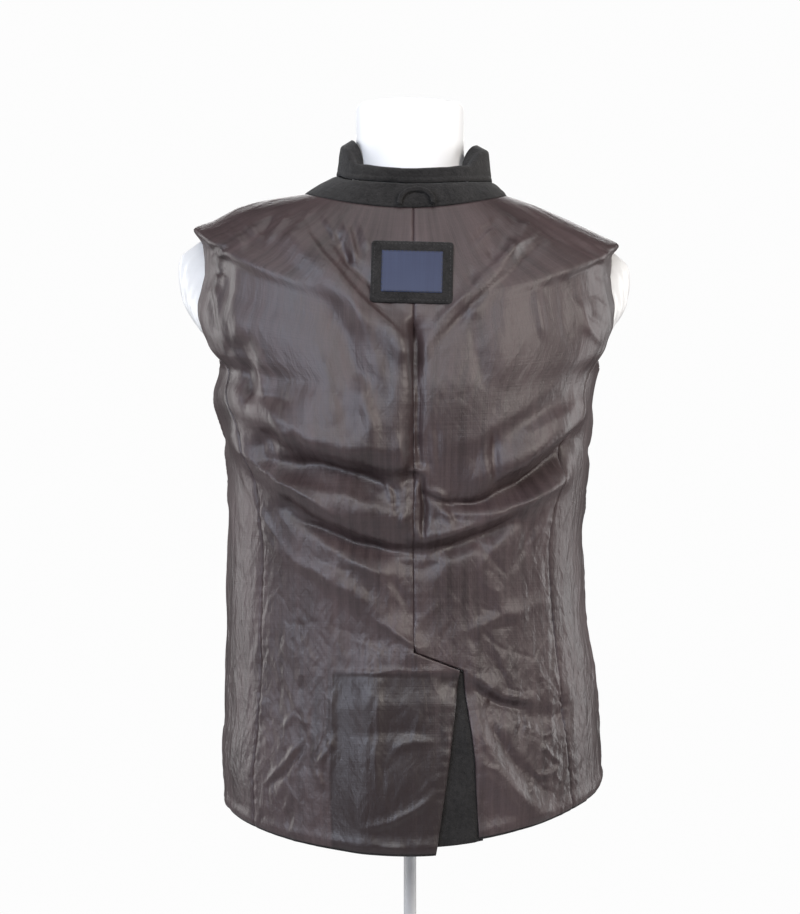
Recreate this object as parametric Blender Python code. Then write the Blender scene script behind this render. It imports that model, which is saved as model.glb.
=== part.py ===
"""A short wool coat, worn inside out on a limbless dress form that stands on a rod and a round base.

The coat's back is towards -Y and its front towards +Y, with +Z up and the floor at Z = 0.
Left and right are those of someone who looks at the coat's back, so left is -X.
Sizes are in millimetres, and MM turns them into Blender's metres.
"""

import math

import bpy
import numpy as np

MM = 0.001

# Driving sizes of the coat
BACK_LENGTH = 648.0  # centre back, from the neck seam to the hem
RIGHT_HEM_LIFT = 10.0  # the right half of the vent hangs this much higher
WALL = 2.4  # wool cloth and lining together
WOOL_WALL = 2.6  # collar cloth, doubled and pressed
SEAM_GAP = 0.4
RING_CORNER = 0.04  # how far a ring swells between its back and its side
VENT_TOP_RUN = 466.0
VENT_SLOPE_RUN = 448.0
FLAP_LIFT = 3.9  # the left vent flap lies this far over the right one
FRONT_LAP = 36.0  # each front reaches this far past the centre line
FRONT_TUCK = 4.2  # the lower front lies this far under the upper one
FACING_DEG = 18.0  # a facing is this wide, as an angle of the ring
UNDERARM_RUN = 186.0

# Rings of the coat, from the neck seam to the hem. run is measured down the centre back.
RING_COLUMNS = ("run", "left", "right", "back", "front", "z_left", "z_right", "z_back", "z_front")
RINGS = np.array([
    (0, 111, 102, 86, 84, 1405, 1403, 1383, 1345),
    (31, 139, 129, 102, 98, 1401, 1394, 1352, 1316),
    (65, 178, 164, 115, 108, 1392, 1379, 1318, 1286),
    (84, 205, 198, 121, 113, 1378, 1363, 1299, 1270),
    (97, 227, 219, 124, 116, 1368, 1351, 1286, 1258),
    (108, 217, 212, 126, 118, 1350, 1340, 1275, 1248),
    (121, 218, 213, 129, 121, 1326, 1320, 1262, 1236),
    (143, 229, 220, 133, 124, 1283, 1280, 1240, 1218),
    (167, 218, 212, 137, 127, 1244, 1243, 1216, 1202),
    (186, 200, 198, 140, 128, 1221, 1220, 1197, 1188),
    (205, 206, 192, 141, 128, 1196, 1194, 1178, 1172),
    (233, 195, 188, 140, 127, 1158, 1156, 1150, 1148),
    (283, 190, 184, 131, 124, 1100, 1100, 1100, 1100),
    (343, 190, 180, 124, 120, 1040, 1040, 1040, 1040),
    (403, 192, 183, 120, 118, 980, 980, 980, 980),
    (463, 192, 191, 124, 120, 920, 920, 920, 920),
    (523, 193, 196, 131, 125, 871, 878, 860, 873),
    (583, 197, 199, 137, 130, 821, 836, 800, 826),
    (648, 192, 201, 139, 133, 768, 783, 735, 775),
], float)

# Rows of every panel down to the vent's top, as runs
ROW_RUNS = np.array([
    0.6, 18, 36, 52, 66, 80, 94, 106, 118, 131, 145, 160, 175, 182.5, 190, 205, 221, 237, 253, 269,
    285, 301, 317, 333, 349, 365, 381, 397, 413, 429, 448, 457, 466,
], float)
UNDERARM_ROW = 14

# Half the angle that the two back panels span: the shoulder seam, the armhole's edge, then the side seam.
BACK_EDGE = np.array([
    # run, degrees
    (0, 90), (94, 90), (104, 84), (121, 76), (143, 71), (160, 68), (175, 66.5), (190, 65),
    (205, 62), (233, 57.5), (270, 53), (300, 50.5), (343, 49), (463, 49), (648, 52),
], float)
FRONT_EDGE = np.array([
    (0, 90), (94, 90), (104, 96), (121, 104), (143, 109), (160, 112), (175, 114), (190, 116),
    (205, 118), (283, 121), (648, 123),
], float)

# Edges of the vent, as places across the back.
VENT_EDGE_COLUMNS = ("run", "flap", "lining")
VENT_EDGES = np.array([
    (0, 3, 3), (440, 3, 3), (448, 3, 4.5), (466, 49, 53), (560, 38, 64), (648, 25, 69),
], float)

# The large folds of the back, each a soft ridge (+) or trough (-) along a bowed line.
FOLD_COLUMNS = ("x0", "z0", "x1", "z1", "bow", "width", "height")
BACK_FOLDS = np.array([
    (-118, 1352, -8, 1236, -7, 12, 5.0),
    (116, 1362, 62, 1278, 3, 8, 4.5),
    (-14, 1256, -8, 1130, 0, 15, 5.0),
    (6, 1258, 2, 1110, 0, 9, -6.0),
    (-160, 1185, -20, 1118, -16, 22, 8.0),
    (-140, 1150, -6, 1108, -10, 10, -7.0),
    (-178, 1150, -10, 1070, -22, 13, 8.0),
    (-122, 1082, 2, 1037, -10, 10, -7.0),
    (170, 1180, 70, 1108, 2, 16, 8.0),
    (166, 1150, 92, 1096, 5, 11, -7.0),
    (150, 1108, 10, 1050, 12, 12, 6.0),
    (106, 1068, 14, 1034, 4, 9, -6.0),
    (-78, 1010, 2, 938, 4, 13, 5.0),
    (40, 905, 150, 868, -8, 12, -5.0),
    (62, 850, 128, 776, -12, 12, 5.0),
    (-40, 905, -50, 745, 0, 14, 3.0),
    (-172, 1240, -160, 1190, 4, 10, -5.0),
], float)
FRONT_FOLDS = np.array([
    (-150, 1180, -82, 1110, -12, 16, 6.0),
    (-165, 1120, -80, 1055, -12, 13, -5.0),
    (150, 1175, 84, 1115, -12, 16, 6.0),
    (165, 1125, 82, 1065, -12, 13, -5.0),
    (-120, 1330, -100, 1220, 6, 14, 4.0),
    (120, 1330, 100, 1220, -6, 14, 4.0),
    (-110, 1000, -125, 800, 0, 18, 5.0),
    (115, 1000, 130, 810, 0, 18, 5.0),
], float)

# Collar
STAND_HEIGHT_BACK = 27.0
COLLAR_SEAM_COLUMNS = ("degrees", "x", "y", "z")
COLLAR_SEAM = np.array([
    # the seam between the collar's stand and its fall, round the neck
    (-180, 0, 80, 1371), (-135, -60, 56, 1394), (-90, -77, 4, 1424), (-45, -59, -57, 1415),
    (0, 2, -77, 1409), (45, 63, -57, 1413), (90, 86, 4, 1417), (135, 64, 56, 1392),
    (180, 0, 80, 1371),
], float)
FALL_LENGTH = 44.0
FALL_COLUMNS = ("degrees", "straight", "turn", "lean")
FALL_PROFILE = np.array([
    # how far the fall rises before it rolls, how far it rolls over, and how it leans in
    (-180, 38, 10, 10), (-120, 34, 20, 9), (-85, 28, 50, 7), (-66, 27, 60, 8),
    (-45, 13, 165, 10), (0, 12, 172, 12), (45, 13, 165, 10), (66, 28, 62, 4),
    (85, 30, 55, 6), (120, 36, 20, 12), (180, 38, 10, 10),
], float)
FALL_ROLL_RADIUS = 4.6
COLLAR_END_DEG = 174.0

# Hanger loop and label patch
LOOP_LEFT_X = -11.0
LOOP_RIGHT_X = 23.0
LOOP_RISE = 16.5
LOOP_RADIUS = 1.9
PATCH_WIDTH, PATCH_HEIGHT, PATCH_THICKNESS = 82.0, 63.0, 1.5
PATCH_X, PATCH_Z = 1.5, 1314.5
LABEL_WIDTH, LABEL_HEIGHT, LABEL_THICKNESS = 61.0, 42.0, 0.7
PATCH_TILT_DEG = -1.5

# Dress form and stand
FORM_COLUMNS = ("z", "half_width", "back", "front")
FORM = np.array([
    (792, 130, 82, 80), (797, 142, 92, 90), (810, 150, 99, 97), (835, 155, 102, 99),
    (880, 154, 97, 96), (950, 147, 86, 92), (1010, 149, 86, 95), (1080, 155, 93, 101),
    (1150, 160, 101, 107), (1200, 164, 104, 107), (1224, 167, 105, 106), (1238, 178, 105, 105),
    (1254, 192, 104, 103), (1275, 202, 102, 98), (1300, 206, 98, 90), (1318, 204, 93, 82),
    (1335, 195, 87, 74), (1350, 177, 81, 68), (1362, 155, 76, 64), (1373, 128, 71, 61),
    (1383, 101, 67, 59), (1393, 80, 63, 58), (1408, 66, 60, 56), (1425, 59, 58, 55),
    (1450, 57, 57, 54), (1490, 57.5, 57, 54), (1497, 57, 56.5, 53.5), (1500, 54, 54, 51),
], float)
ROD_RADIUS = 6.5
SOCKET_RADIUS, SOCKET_HEIGHT = 22.0, 14.0
BASE_RADIUS, BASE_THICKNESS, BASE_EDGE = 150.0, 9.0, 1.5
BASE_HUB_RADIUS, BASE_HUB_HEIGHT = 20.0, 26.0
ROD_GAP = 0.4

# Sleeves, pushed inside the body. Their heads bulge out of the armholes over the form's shoulders.
SLEEVE_WALL = 1.8
SLEEVE_DEPTH = 5.2  # the head's border lies this far under the panels
SLEEVE_BORDER_DEG = 7.0
SLEEVE_HEADS = np.array([
    # run, then how far the head reaches out on the left and on the right
    (98, 211, 206), (103, 213, 207.5), (108, 229, 219), (113, 241, 228), (119, 244, 231),
    (125, 243.5, 231), (134, 240, 229), (144, 233, 223), (155, 220, 211), (167, 202, 195),
    (180, 183, 180), (190, 177, 174), (197, 175, 172),
], float)
SLEEVE_MOUTH_Z, SLEEVE_CUFF_Z = 1182.0, 812.0
SLEEVE_MOUTH_RISE, SLEEVE_CUFF_RISE = 27.0, -10.0  # how much higher a ring is at its outer side
SLEEVE_HALF_DEG = (30.0, 22.0)  # at the mouth and at the cuff, round the body
SLEEVE_NEAR, SLEEVE_FAR = 0.28, 0.76  # shares of the way from the form to the coat


def smooth_step(value):
    """0 below 0, 1 above 1, and a smooth rise between."""
    value = np.clip(value, 0.0, 1.0)
    return value * value * (3.0 - 2.0 * value)


def smooth_column(at, places, values):
    """A smooth curve through a table's column that never overshoots its rows."""
    at = np.asarray(at, float)
    steps = np.diff(places)
    slopes = np.diff(values) / steps
    tangents = np.zeros(len(places))
    same_way = slopes[:-1] * slopes[1:] > 0
    weight_a, weight_b = 2 * steps[1:] + steps[:-1], steps[1:] + 2 * steps[:-1]
    safe = np.where(same_way, slopes[:-1] * slopes[1:], 1.0)
    inner = (weight_a + weight_b) * safe / (weight_a * slopes[1:] + weight_b * slopes[:-1] + 1e-12)
    tangents[1:-1] = np.where(same_way, inner, 0.0)
    tangents[0], tangents[-1] = slopes[0], slopes[-1]
    index = np.clip(np.searchsorted(places, at, side="right") - 1, 0, len(places) - 2)
    step = steps[index]
    t = np.clip((at - places[index]) / step, 0.0, 1.0)
    return (
        values[index] * (1 + 2 * t) * (1 - t) ** 2
        + tangents[index] * step * t * (1 - t) ** 2
        + values[index + 1] * t * t * (3 - 2 * t)
        + tangents[index + 1] * step * t * t * (t - 1)
    )


def ring_value(name, run):
    return smooth_column(run, RINGS[:, 0], RINGS[:, RING_COLUMNS.index(name)])


def plain_ring_point(degrees, run):
    """A point of the coat's outside without its folds. 0 degrees is the centre back, 90 the right side."""
    angle = np.radians(np.asarray(degrees, float))
    run = np.asarray(run, float)
    sine, cosine = np.sin(angle), np.cos(angle)
    half = np.where(sine > 0, ring_value("right", run), ring_value("left", run))
    side_z = np.where(sine > 0, ring_value("z_right", run), ring_value("z_left", run))
    behind = cosine > 0
    depth = np.where(behind, ring_value("back", run), ring_value("front", run))
    middle_z = np.where(behind, ring_value("z_back", run), ring_value("z_front", run))
    swell = 1 + RING_CORNER * np.sin(2 * angle) ** 2
    return np.stack([
        half * sine * swell,
        -depth * cosine * swell,
        side_z + (middle_z - side_z) * cosine ** 2,
    ], axis=-1)


def bowed_line(fold, count=15):
    """Points along a fold: a straight line from end to end, bowed sideways in its middle."""
    x0, z0, x1, z1, bow = fold[:5]
    t = np.linspace(0, 1, count)
    length = math.hypot(x1 - x0, z1 - z0)
    across = np.array([-(z1 - z0), x1 - x0]) / length
    bulge = 4 * t * (1 - t) * bow
    return np.stack([x0 + (x1 - x0) * t + across[0] * bulge, z0 + (z1 - z0) * t + across[1] * bulge], 1)


def fold_height(x, z, folds):
    """How far the folds lift the cloth at places across and up."""
    lifted = np.zeros(np.broadcast(x, z).shape)
    for fold in folds:
        line = bowed_line(fold)
        gaps = np.hypot(x[..., None] - line[:, 0], z[..., None] - line[:, 1])
        width, height = fold[5:7]
        lifted += height * np.exp(-((gaps.min(-1) / width) ** 2))
    return lifted


def coat_point(degrees, run, lift=0.0):
    """A point of the coat's outside with its large folds, moved out by lift."""
    degrees, run = np.broadcast_arrays(np.asarray(degrees, float), np.asarray(run, float))
    point = plain_ring_point(degrees, run)
    angle = np.radians(degrees)
    behind = smooth_step((np.cos(angle) - 0.2) / 0.35)
    before = smooth_step((-np.cos(angle) - 0.2) / 0.35)
    height = behind * fold_height(point[..., 0], point[..., 2], BACK_FOLDS)
    height = height + before * fold_height(point[..., 0], point[..., 2], FRONT_FOLDS)
    calm_top = smooth_step((run - 6.0) / 40.0)
    return point + outward(degrees, run) * (height * calm_top + lift)[..., None]


def outward(degrees, run):
    """The plain surface's direction away from the body."""
    around = plain_ring_point(degrees + 1.0, run) - plain_ring_point(degrees - 1.0, run)
    low = np.clip(run - 3.0, 0.0, BACK_LENGTH)
    high = np.clip(run + 3.0, 0.0, BACK_LENGTH)
    down = plain_ring_point(degrees, high) - plain_ring_point(degrees, low)
    normal = np.cross(down, around)
    return normal / np.linalg.norm(normal, axis=-1, keepdims=True)


def degrees_at(x, run):
    """The angle on the back at which the ring is at a place across it."""
    half = np.where(np.asarray(x) > 0, ring_value("right", run), ring_value("left", run))
    degrees = np.degrees(np.arcsin(np.clip(x / half, -1, 1)))
    for _ in range(3):
        swell = 1 + RING_CORNER * np.sin(2 * np.radians(degrees)) ** 2
        degrees = np.degrees(np.arcsin(np.clip(x / (half * swell), -1, 1)))
    return degrees


def run_at(degrees, z):
    """The run at which a ring angle passes a height."""
    runs = np.linspace(0, BACK_LENGTH, 500)
    degrees, z = np.broadcast_arrays(np.asarray(degrees, float), np.asarray(z, float))
    found = np.empty(degrees.shape)
    for place in np.ndindex(degrees.shape):
        heights = plain_ring_point(np.full(500, degrees[place]), runs)[:, 2]
        found[place] = np.interp(-z[place], -heights, runs)
    return found


def make_material(name, colour, roughness, metallic=0.0):
    material = bpy.data.materials.new(name)
    material.use_nodes = True
    shader = material.node_tree.nodes["Principled BSDF"]
    shader.inputs["Base Color"].default_value = (*colour, 1.0)
    shader.inputs["Roughness"].default_value = roughness
    shader.inputs["Metallic"].default_value = metallic
    return material


def make_object(name, points, faces, material):
    """An object from points in millimetres, with its origin on the first ring's middle height."""
    mesh = bpy.data.meshes.new(name)
    mesh.from_pydata((np.asarray(points) * MM).tolist(), [], faces)
    mesh.materials.append(material)
    mesh.shade_smooth()
    mesh.set_sharp_from_angle(angle=math.radians(50))
    made = bpy.data.objects.new(name, mesh)
    bpy.context.scene.collection.objects.link(made)
    return made


def grid_normals(grid, closed=False):
    """Directions square to a grid of points, along rows cross down columns."""
    if closed:
        across = np.roll(grid, -1, 1) - np.roll(grid, 1, 1)
    else:
        across = np.gradient(grid, axis=1)
    down = np.gradient(grid, axis=0)
    normal = np.cross(down, across)
    return normal / np.linalg.norm(normal, axis=-1, keepdims=True)


def make_sheet(name, outer, thickness, material, closed=False, flip=False):
    """A wall of even thickness behind a grid of points."""
    normals = grid_normals(outer, closed) * (-1 if flip else 1)
    return make_wall(name, (outer, outer - normals * thickness), material, closed, flip)


def make_wall(name, sides, material, closed=False, flip=False):
    """A wall of cloth between its outside and its inside. A closed grid goes round into a tube."""
    outer, inner = sides
    rows, columns = outer.shape[:2]
    points = np.concatenate([outer.reshape(-1, 3), inner.reshape(-1, 3)])
    below = rows * columns
    last = columns if closed else columns - 1
    faces = []
    for row in range(rows - 1):
        for column in range(last):
            a, b = row * columns + column, row * columns + (column + 1) % columns
            c, d = b + columns, a + columns
            faces.append((a, d, c, b))
            faces.append((a + below, b + below, c + below, d + below))
    rims = [[row * columns + column for column in range(columns)] for row in (0, rows - 1)]
    for rim, turned in zip(rims, (False, True)):
        ends = zip(rim, rim[1:] + rim[:1]) if closed else zip(rim, rim[1:])
        for a, b in ends:
            face = (a, b, b + below, a + below)
            faces.append(face[::-1] if turned else face)
    if not closed:
        for column, turned in ((0, True), (columns - 1, False)):
            side = [row * columns + column for row in range(rows)]
            for a, b in zip(side, side[1:]):
                face = (a, b, b + below, a + below)
                faces.append(face[::-1] if turned else face)
    if flip:
        faces = [face[::-1] for face in faces]
    return make_object(name, points, faces, material)


def panel_runs(bottom, columns, first_row=0, top=None):
    """Runs of a panel's rows. Neighbours share their rows, so their seams match."""
    below = np.linspace(VENT_TOP_RUN, bottom, 12)[1:]
    runs = np.concatenate([ROW_RUNS[first_row:], below])
    grid = runs[:, None] + np.zeros((1, columns + 1))
    if top is not None:
        edge = top(np.linspace(0, 1, columns + 1))
        grid = np.concatenate([[edge, (edge + grid[0]) / 2], grid])
    return grid


def panel_grid(first_edge, last_edge, run, lift=None):
    """The outside and the inside of a panel between two edges, each an angle for every run."""
    share = np.linspace(0, 1, run.shape[1])[None, :]
    degrees = first_edge(run) + (last_edge(run) - first_edge(run)) * share
    height = lift(degrees, run) if lift else 0.0
    outer = coat_point(degrees, run, height)
    return outer, outer - outward(degrees, run) * WALL


def edge_shift(run, gap=SEAM_GAP / 2):
    """Half a seam's gap as an angle."""
    return np.degrees(gap / np.maximum(ring_value("back", run), 1.0))


def back_edge(run):
    return np.interp(run, BACK_EDGE[:, 0], BACK_EDGE[:, 1])


def front_edge(run):
    return np.interp(run, FRONT_EDGE[:, 0], FRONT_EDGE[:, 1])


def vent_degrees(column, run):
    """The angle of the vent's flap edge or lining edge."""
    index = VENT_EDGE_COLUMNS.index(column)
    x = np.interp(run, VENT_EDGES[:, 0], VENT_EDGES[:, index])
    return degrees_at(x, run)


def flap_lift(degrees, run):
    """The left half is lifted over the right one below the vent's top."""
    below = smooth_step((run - (VENT_SLOPE_RUN - 14)) / 22.0)
    across = smooth_step((degrees + 22.0) / 14.0)
    return FLAP_LIFT * below * across


def make_backs(lining):
    make_wall(
        "back_left",
        panel_grid(
            lambda run: -back_edge(run) + edge_shift(run),
            lambda run: vent_degrees("flap", run) - edge_shift(run),
            panel_runs(BACK_LENGTH, 14), flap_lift,
        ),
        lining,
    )
    make_wall(
        "back_right",
        panel_grid(
            lambda run: vent_degrees("lining", run) + edge_shift(run),
            lambda run: back_edge(run) - edge_shift(run),
            panel_runs(BACK_LENGTH - RIGHT_HEM_LIFT, 12),
        ),
        lining,
    )


def make_vent_underlap(wool):
    """The wool that shows between the vent's lined edges, and runs on under the left flap."""
    make_wall(
        "vent_underlap",
        panel_grid(
            lambda run: degrees_at(np.full(np.shape(run), -14.0), run),
            lambda run: vent_degrees("lining", run) - edge_shift(run, 0.5),
            panel_runs(BACK_LENGTH - RIGHT_HEM_LIFT, 4, len(ROW_RUNS) - 1) + 2.0,
        ),
        wool,
    )


def underarm_top(share):
    """The side panel's top edge dips to the armhole's lowest point."""
    from_middle = (share - 0.5) * 2
    return UNDERARM_RUN - 11.0 * from_middle ** 2


def make_sides(lining):
    make_wall(
        "side_right",
        panel_grid(
            lambda run: back_edge(run) + edge_shift(run),
            lambda run: front_edge(run) - edge_shift(run),
            panel_runs(BACK_LENGTH - RIGHT_HEM_LIFT, 5, UNDERARM_ROW, underarm_top),
        ),
        lining,
    )
    make_wall(
        "side_left",
        panel_grid(
            lambda run: -front_edge(run) + edge_shift(run),
            lambda run: -back_edge(run) - edge_shift(run),
            panel_runs(BACK_LENGTH, 5, UNDERARM_ROW, underarm_top),
        ),
        lining,
    )


def front_tuck(degrees, run):
    """The left front goes under the right one near the centre line."""
    reach = lap_degrees() + 2.0
    return -FRONT_TUCK * smooth_step((reach + 10.0 - (degrees + 180.0)) / 9.0)


def lap_degrees():
    """How far each front reaches past the centre line, as an angle."""
    return math.degrees(math.asin(FRONT_LAP / float(ring_value("right", 300.0))))


def make_fronts(lining, wool):
    """Lining out, each front ends in a wool facing. The right one laps over the left."""
    lap = lap_degrees()
    make_wall(
        "front_right",
        panel_grid(
            lambda run: front_edge(run) + edge_shift(run),
            lambda run: np.full(np.shape(run), 180.0 - FACING_DEG) - edge_shift(run),
            panel_runs(BACK_LENGTH - RIGHT_HEM_LIFT, 6),
        ),
        lining,
    )
    make_wall(
        "facing_right",
        panel_grid(
            lambda run: np.full(np.shape(run), 180.0 - FACING_DEG) + edge_shift(run),
            lambda run: np.full(np.shape(run), 180.0 + lap),
            panel_runs(BACK_LENGTH - RIGHT_HEM_LIFT, 3),
        ),
        wool,
    )
    make_wall(
        "front_left",
        panel_grid(
            lambda run: np.full(np.shape(run), -180.0 + FACING_DEG) + edge_shift(run),
            lambda run: -front_edge(run) - edge_shift(run),
            panel_runs(BACK_LENGTH, 6), front_tuck,
        ),
        lining,
    )
    make_wall(
        "facing_left",
        panel_grid(
            lambda run: np.full(np.shape(run), -180.0 - lap),
            lambda run: np.full(np.shape(run), -180.0 + FACING_DEG) - edge_shift(run),
            panel_runs(BACK_LENGTH, 3), front_tuck,
        ),
        wool,
    )


def collar_seam_point(degrees):
    """The seam between stand and fall, as a smooth closed curve."""
    return np.stack([
        smooth_loop(degrees, COLLAR_SEAM[:, 0], COLLAR_SEAM[:, column]) for column in (1, 2, 3)
    ], -1)


def smooth_loop(degrees, places, values):
    """A smooth curve through a table that goes once round, from -180 to 180 degrees."""
    places = np.concatenate([places[-3:-1] - 360, places, places[1:3] + 360])
    values = np.concatenate([values[-3:-1], values, values[1:3]])
    index = np.clip(np.searchsorted(places, degrees, side="right") - 1, 1, len(places) - 3)
    step = places[index + 1] - places[index]
    t = (degrees - places[index]) / step
    slope_a = (values[index + 1] - values[index - 1]) / (places[index + 1] - places[index - 1]) * step
    slope_b = (values[index + 2] - values[index]) / (places[index + 2] - places[index]) * step
    return (
        values[index] * (1 + 2 * t) * (1 - t) ** 2 + slope_a * t * (1 - t) ** 2
        + values[index + 1] * t * t * (3 - 2 * t) + slope_b * t * t * (t - 1)
    )


def stand_point(degrees, share):
    """The stand goes from the neck seam at share 0 to the fall's seam at share 1."""
    foot = plain_ring_point(degrees, 0.0)
    head = collar_seam_point(degrees)
    bulge = np.stack([np.sin(np.radians(degrees)), -np.cos(np.radians(degrees)), 0 * degrees], -1)
    share = np.asarray(share)[..., None]
    return foot + (head - foot) * share + bulge * 2.0 * np.sin(np.pi * share)


def make_collar_stand(wool):
    degrees = np.linspace(-COLLAR_END_DEG, COLLAR_END_DEG, 37)[None, :]
    share = np.linspace(0.028, 0.985, 4)[:, None]
    degrees, share = np.broadcast_arrays(degrees, share)
    make_sheet("collar_stand", stand_point(degrees, share)[::-1], WOOL_WALL, wool)


def fall_line(degrees, lengths):
    """The fall's profile at one place round the neck: up, then rolled over towards the neck."""
    straight, turn, lean = (
        smooth_column(degrees, FALL_PROFILE[:, 0], FALL_PROFILE[:, column]) for column in (1, 2, 3)
    )
    fine = np.linspace(0, FALL_LENGTH, 139)
    rolled = np.clip((fine - straight) / FALL_ROLL_RADIUS, 0, math.radians(turn))
    angle = math.radians(lean) + rolled
    step = fine[1] - fine[0]
    inwards = np.concatenate([[0], np.cumsum(np.sin(angle[:-1]) * step)])
    upwards = np.concatenate([[0], np.cumsum(np.cos(angle[:-1]) * step)])
    return np.interp(lengths, fine, inwards), np.interp(lengths, fine, upwards)


def make_collar_fall(wool):
    around = np.linspace(-COLLAR_END_DEG, COLLAR_END_DEG, 37)
    lengths = np.array([0.6, 11, 16, 20, 24, 28, 33, FALL_LENGTH])
    grid = np.empty((len(lengths), len(around), 3))
    for column, degrees in enumerate(around):
        seam = collar_seam_point(np.array(degrees))
        inwards, upwards = fall_line(degrees, lengths)
        away = np.array([seam[0], seam[1], 0.0])
        away /= np.linalg.norm(away)
        grid[:, column] = seam - away * inwards[:, None] + np.array([0, 0, 1.0]) * upwards[:, None]
    make_sheet("collar_fall", grid[::-1], WOOL_WALL, wool)


def make_tube(name, path, radius, sides, material):
    """A round cord along a path of points, flat at both ends."""
    along = np.gradient(path, axis=0)
    along /= np.linalg.norm(along, axis=1, keepdims=True)
    forth = np.cross(along, np.array([0, 1.0, 0]))
    forth /= np.linalg.norm(forth, axis=1, keepdims=True)
    square = np.cross(along, forth)
    turns = np.linspace(0, 2 * math.pi, sides, endpoint=False)
    rings = (
        path[:, None] + radius * np.cos(turns)[None, :, None] * forth[:, None]
        + radius * np.sin(turns)[None, :, None] * square[:, None]
    )
    faces = [tuple(range(sides - 1, -1, -1))]
    for row in range(len(path) - 1):
        for column in range(sides):
            a, b = row * sides + column, row * sides + (column + 1) % sides
            faces.append((a, b, b + sides, a + sides))
    top = (len(path) - 1) * sides
    faces.append(tuple(range(top, top + sides)))
    return make_object(name, rings.reshape(-1, 3), faces, material)


def make_hanger_loop(wool):
    """A wool cord in an arch over the collar's stand, sewn in at the neck seam."""
    turns = np.linspace(math.pi, 0, 13)
    x = (LOOP_LEFT_X + LOOP_RIGHT_X) / 2 + (LOOP_RIGHT_X - LOOP_LEFT_X) / 2 * np.cos(turns)
    rise = 3.0 + LOOP_RISE * np.sin(turns) ** 0.8
    on_stand = stand_point(degrees_at(x, 0.0 * x), rise / STAND_HEIGHT_BACK)
    stand_off = LOOP_RADIUS + 1.0 + 1.6 * np.sin(turns)
    path = np.stack([x, on_stand[:, 1] - stand_off, on_stand[:, 2]], 1)
    make_tube("hanger_loop", path, LOOP_RADIUS, 8, wool)


def back_point_at(x, z, lift):
    """A point on the back, found from its place across and its height."""
    run = np.clip(RINGS[0, 7] - z, 0, BACK_LENGTH)
    for _ in range(6):
        degrees = degrees_at(x, run)
        run = run + (plain_ring_point(degrees, run)[..., 2] - z)
    return coat_point(degrees, run, lift)


def make_patch(name, width, height, thickness, under, columns, rows, material):
    """A flat piece sewn on the back: its points are the back's own, moved out."""
    u = np.linspace(-width / 2, width / 2, columns + 1)[None, :]
    v = np.linspace(height / 2, -height / 2, rows + 1)[:, None]
    tilt = math.radians(PATCH_TILT_DEG)
    x = PATCH_X + u * math.cos(tilt) - v * math.sin(tilt)
    z = PATCH_Z + u * math.sin(tilt) + v * math.cos(tilt)
    make_wall(name, (back_point_at(x, z, under + thickness), back_point_at(x, z, under)), material)


def form_value(name, z):
    return smooth_column(z, FORM[:, 0], FORM[:, FORM_COLUMNS.index(name)])


def form_point(degrees, z):
    angle = np.radians(np.asarray(degrees, float))
    sine, cosine = np.sin(angle), np.cos(angle)
    depth = np.where(cosine > 0, form_value("back", z), form_value("front", z))
    return np.stack([form_value("half_width", z) * sine, -depth * cosine, z + 0 * sine], -1)


def make_form(form_white):
    """The limbless torso: neck, rounded shoulder caps, chest, waist and hips, closed above and below."""
    columns = 22
    degrees = np.linspace(0, 360, columns, endpoint=False)
    rings = [form_point(degrees, np.full(columns, z)) for z in FORM[:, 0]]
    points = np.concatenate(rings)
    faces = [tuple(range(columns - 1, -1, -1))]
    for row in range(len(rings) - 1):
        for column in range(columns):
            a, b = row * columns + column, row * columns + (column + 1) % columns
            faces.append((a, b, b + columns, a + columns))
    top = (len(rings) - 1) * columns
    faces.append(tuple(range(top, top + columns)))
    make_object("form_torso", points, faces, form_white)


def make_turned(name, profile, material, segments=40):
    """A solid turned about the stand's axis from a profile of radius and height."""
    turns = np.linspace(0, 2 * math.pi, segments, endpoint=False)
    rings = [[(r * math.cos(t), r * math.sin(t), z) for t in turns] for r, z in profile]
    faces = [tuple(range(segments - 1, -1, -1))]
    for row in range(len(rings) - 1):
        for column in range(segments):
            a, b = row * segments + column, row * segments + (column + 1) % segments
            faces.append((a, b, b + segments, a + segments))
    top = (len(rings) - 1) * segments
    faces.append(tuple(range(top, top + segments)))
    make_object(name, np.concatenate(rings), faces, material)


def make_stand(steel):
    form_foot = FORM[0, 0]
    edge = BASE_EDGE
    make_turned("stand_base", [
        (BASE_RADIUS - edge, 0), (BASE_RADIUS, edge), (BASE_RADIUS, BASE_THICKNESS - edge),
        (BASE_RADIUS - edge, BASE_THICKNESS), (BASE_HUB_RADIUS + 3, BASE_THICKNESS),
        (BASE_HUB_RADIUS, BASE_THICKNESS + 3), (BASE_HUB_RADIUS, BASE_HUB_HEIGHT - edge),
        (BASE_HUB_RADIUS - edge, BASE_HUB_HEIGHT),
    ], steel, 48)
    socket_top = form_foot - ROD_GAP
    make_turned("stand_rod", [
        (ROD_RADIUS, BASE_HUB_HEIGHT + ROD_GAP), (ROD_RADIUS, socket_top - SOCKET_HEIGHT - ROD_GAP),
    ], steel, 20)
    make_turned("form_socket", [
        (SOCKET_RADIUS - edge, socket_top - SOCKET_HEIGHT), (SOCKET_RADIUS, socket_top - SOCKET_HEIGHT + edge),
        (SOCKET_RADIUS, socket_top),
    ], steel, 28)


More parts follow.
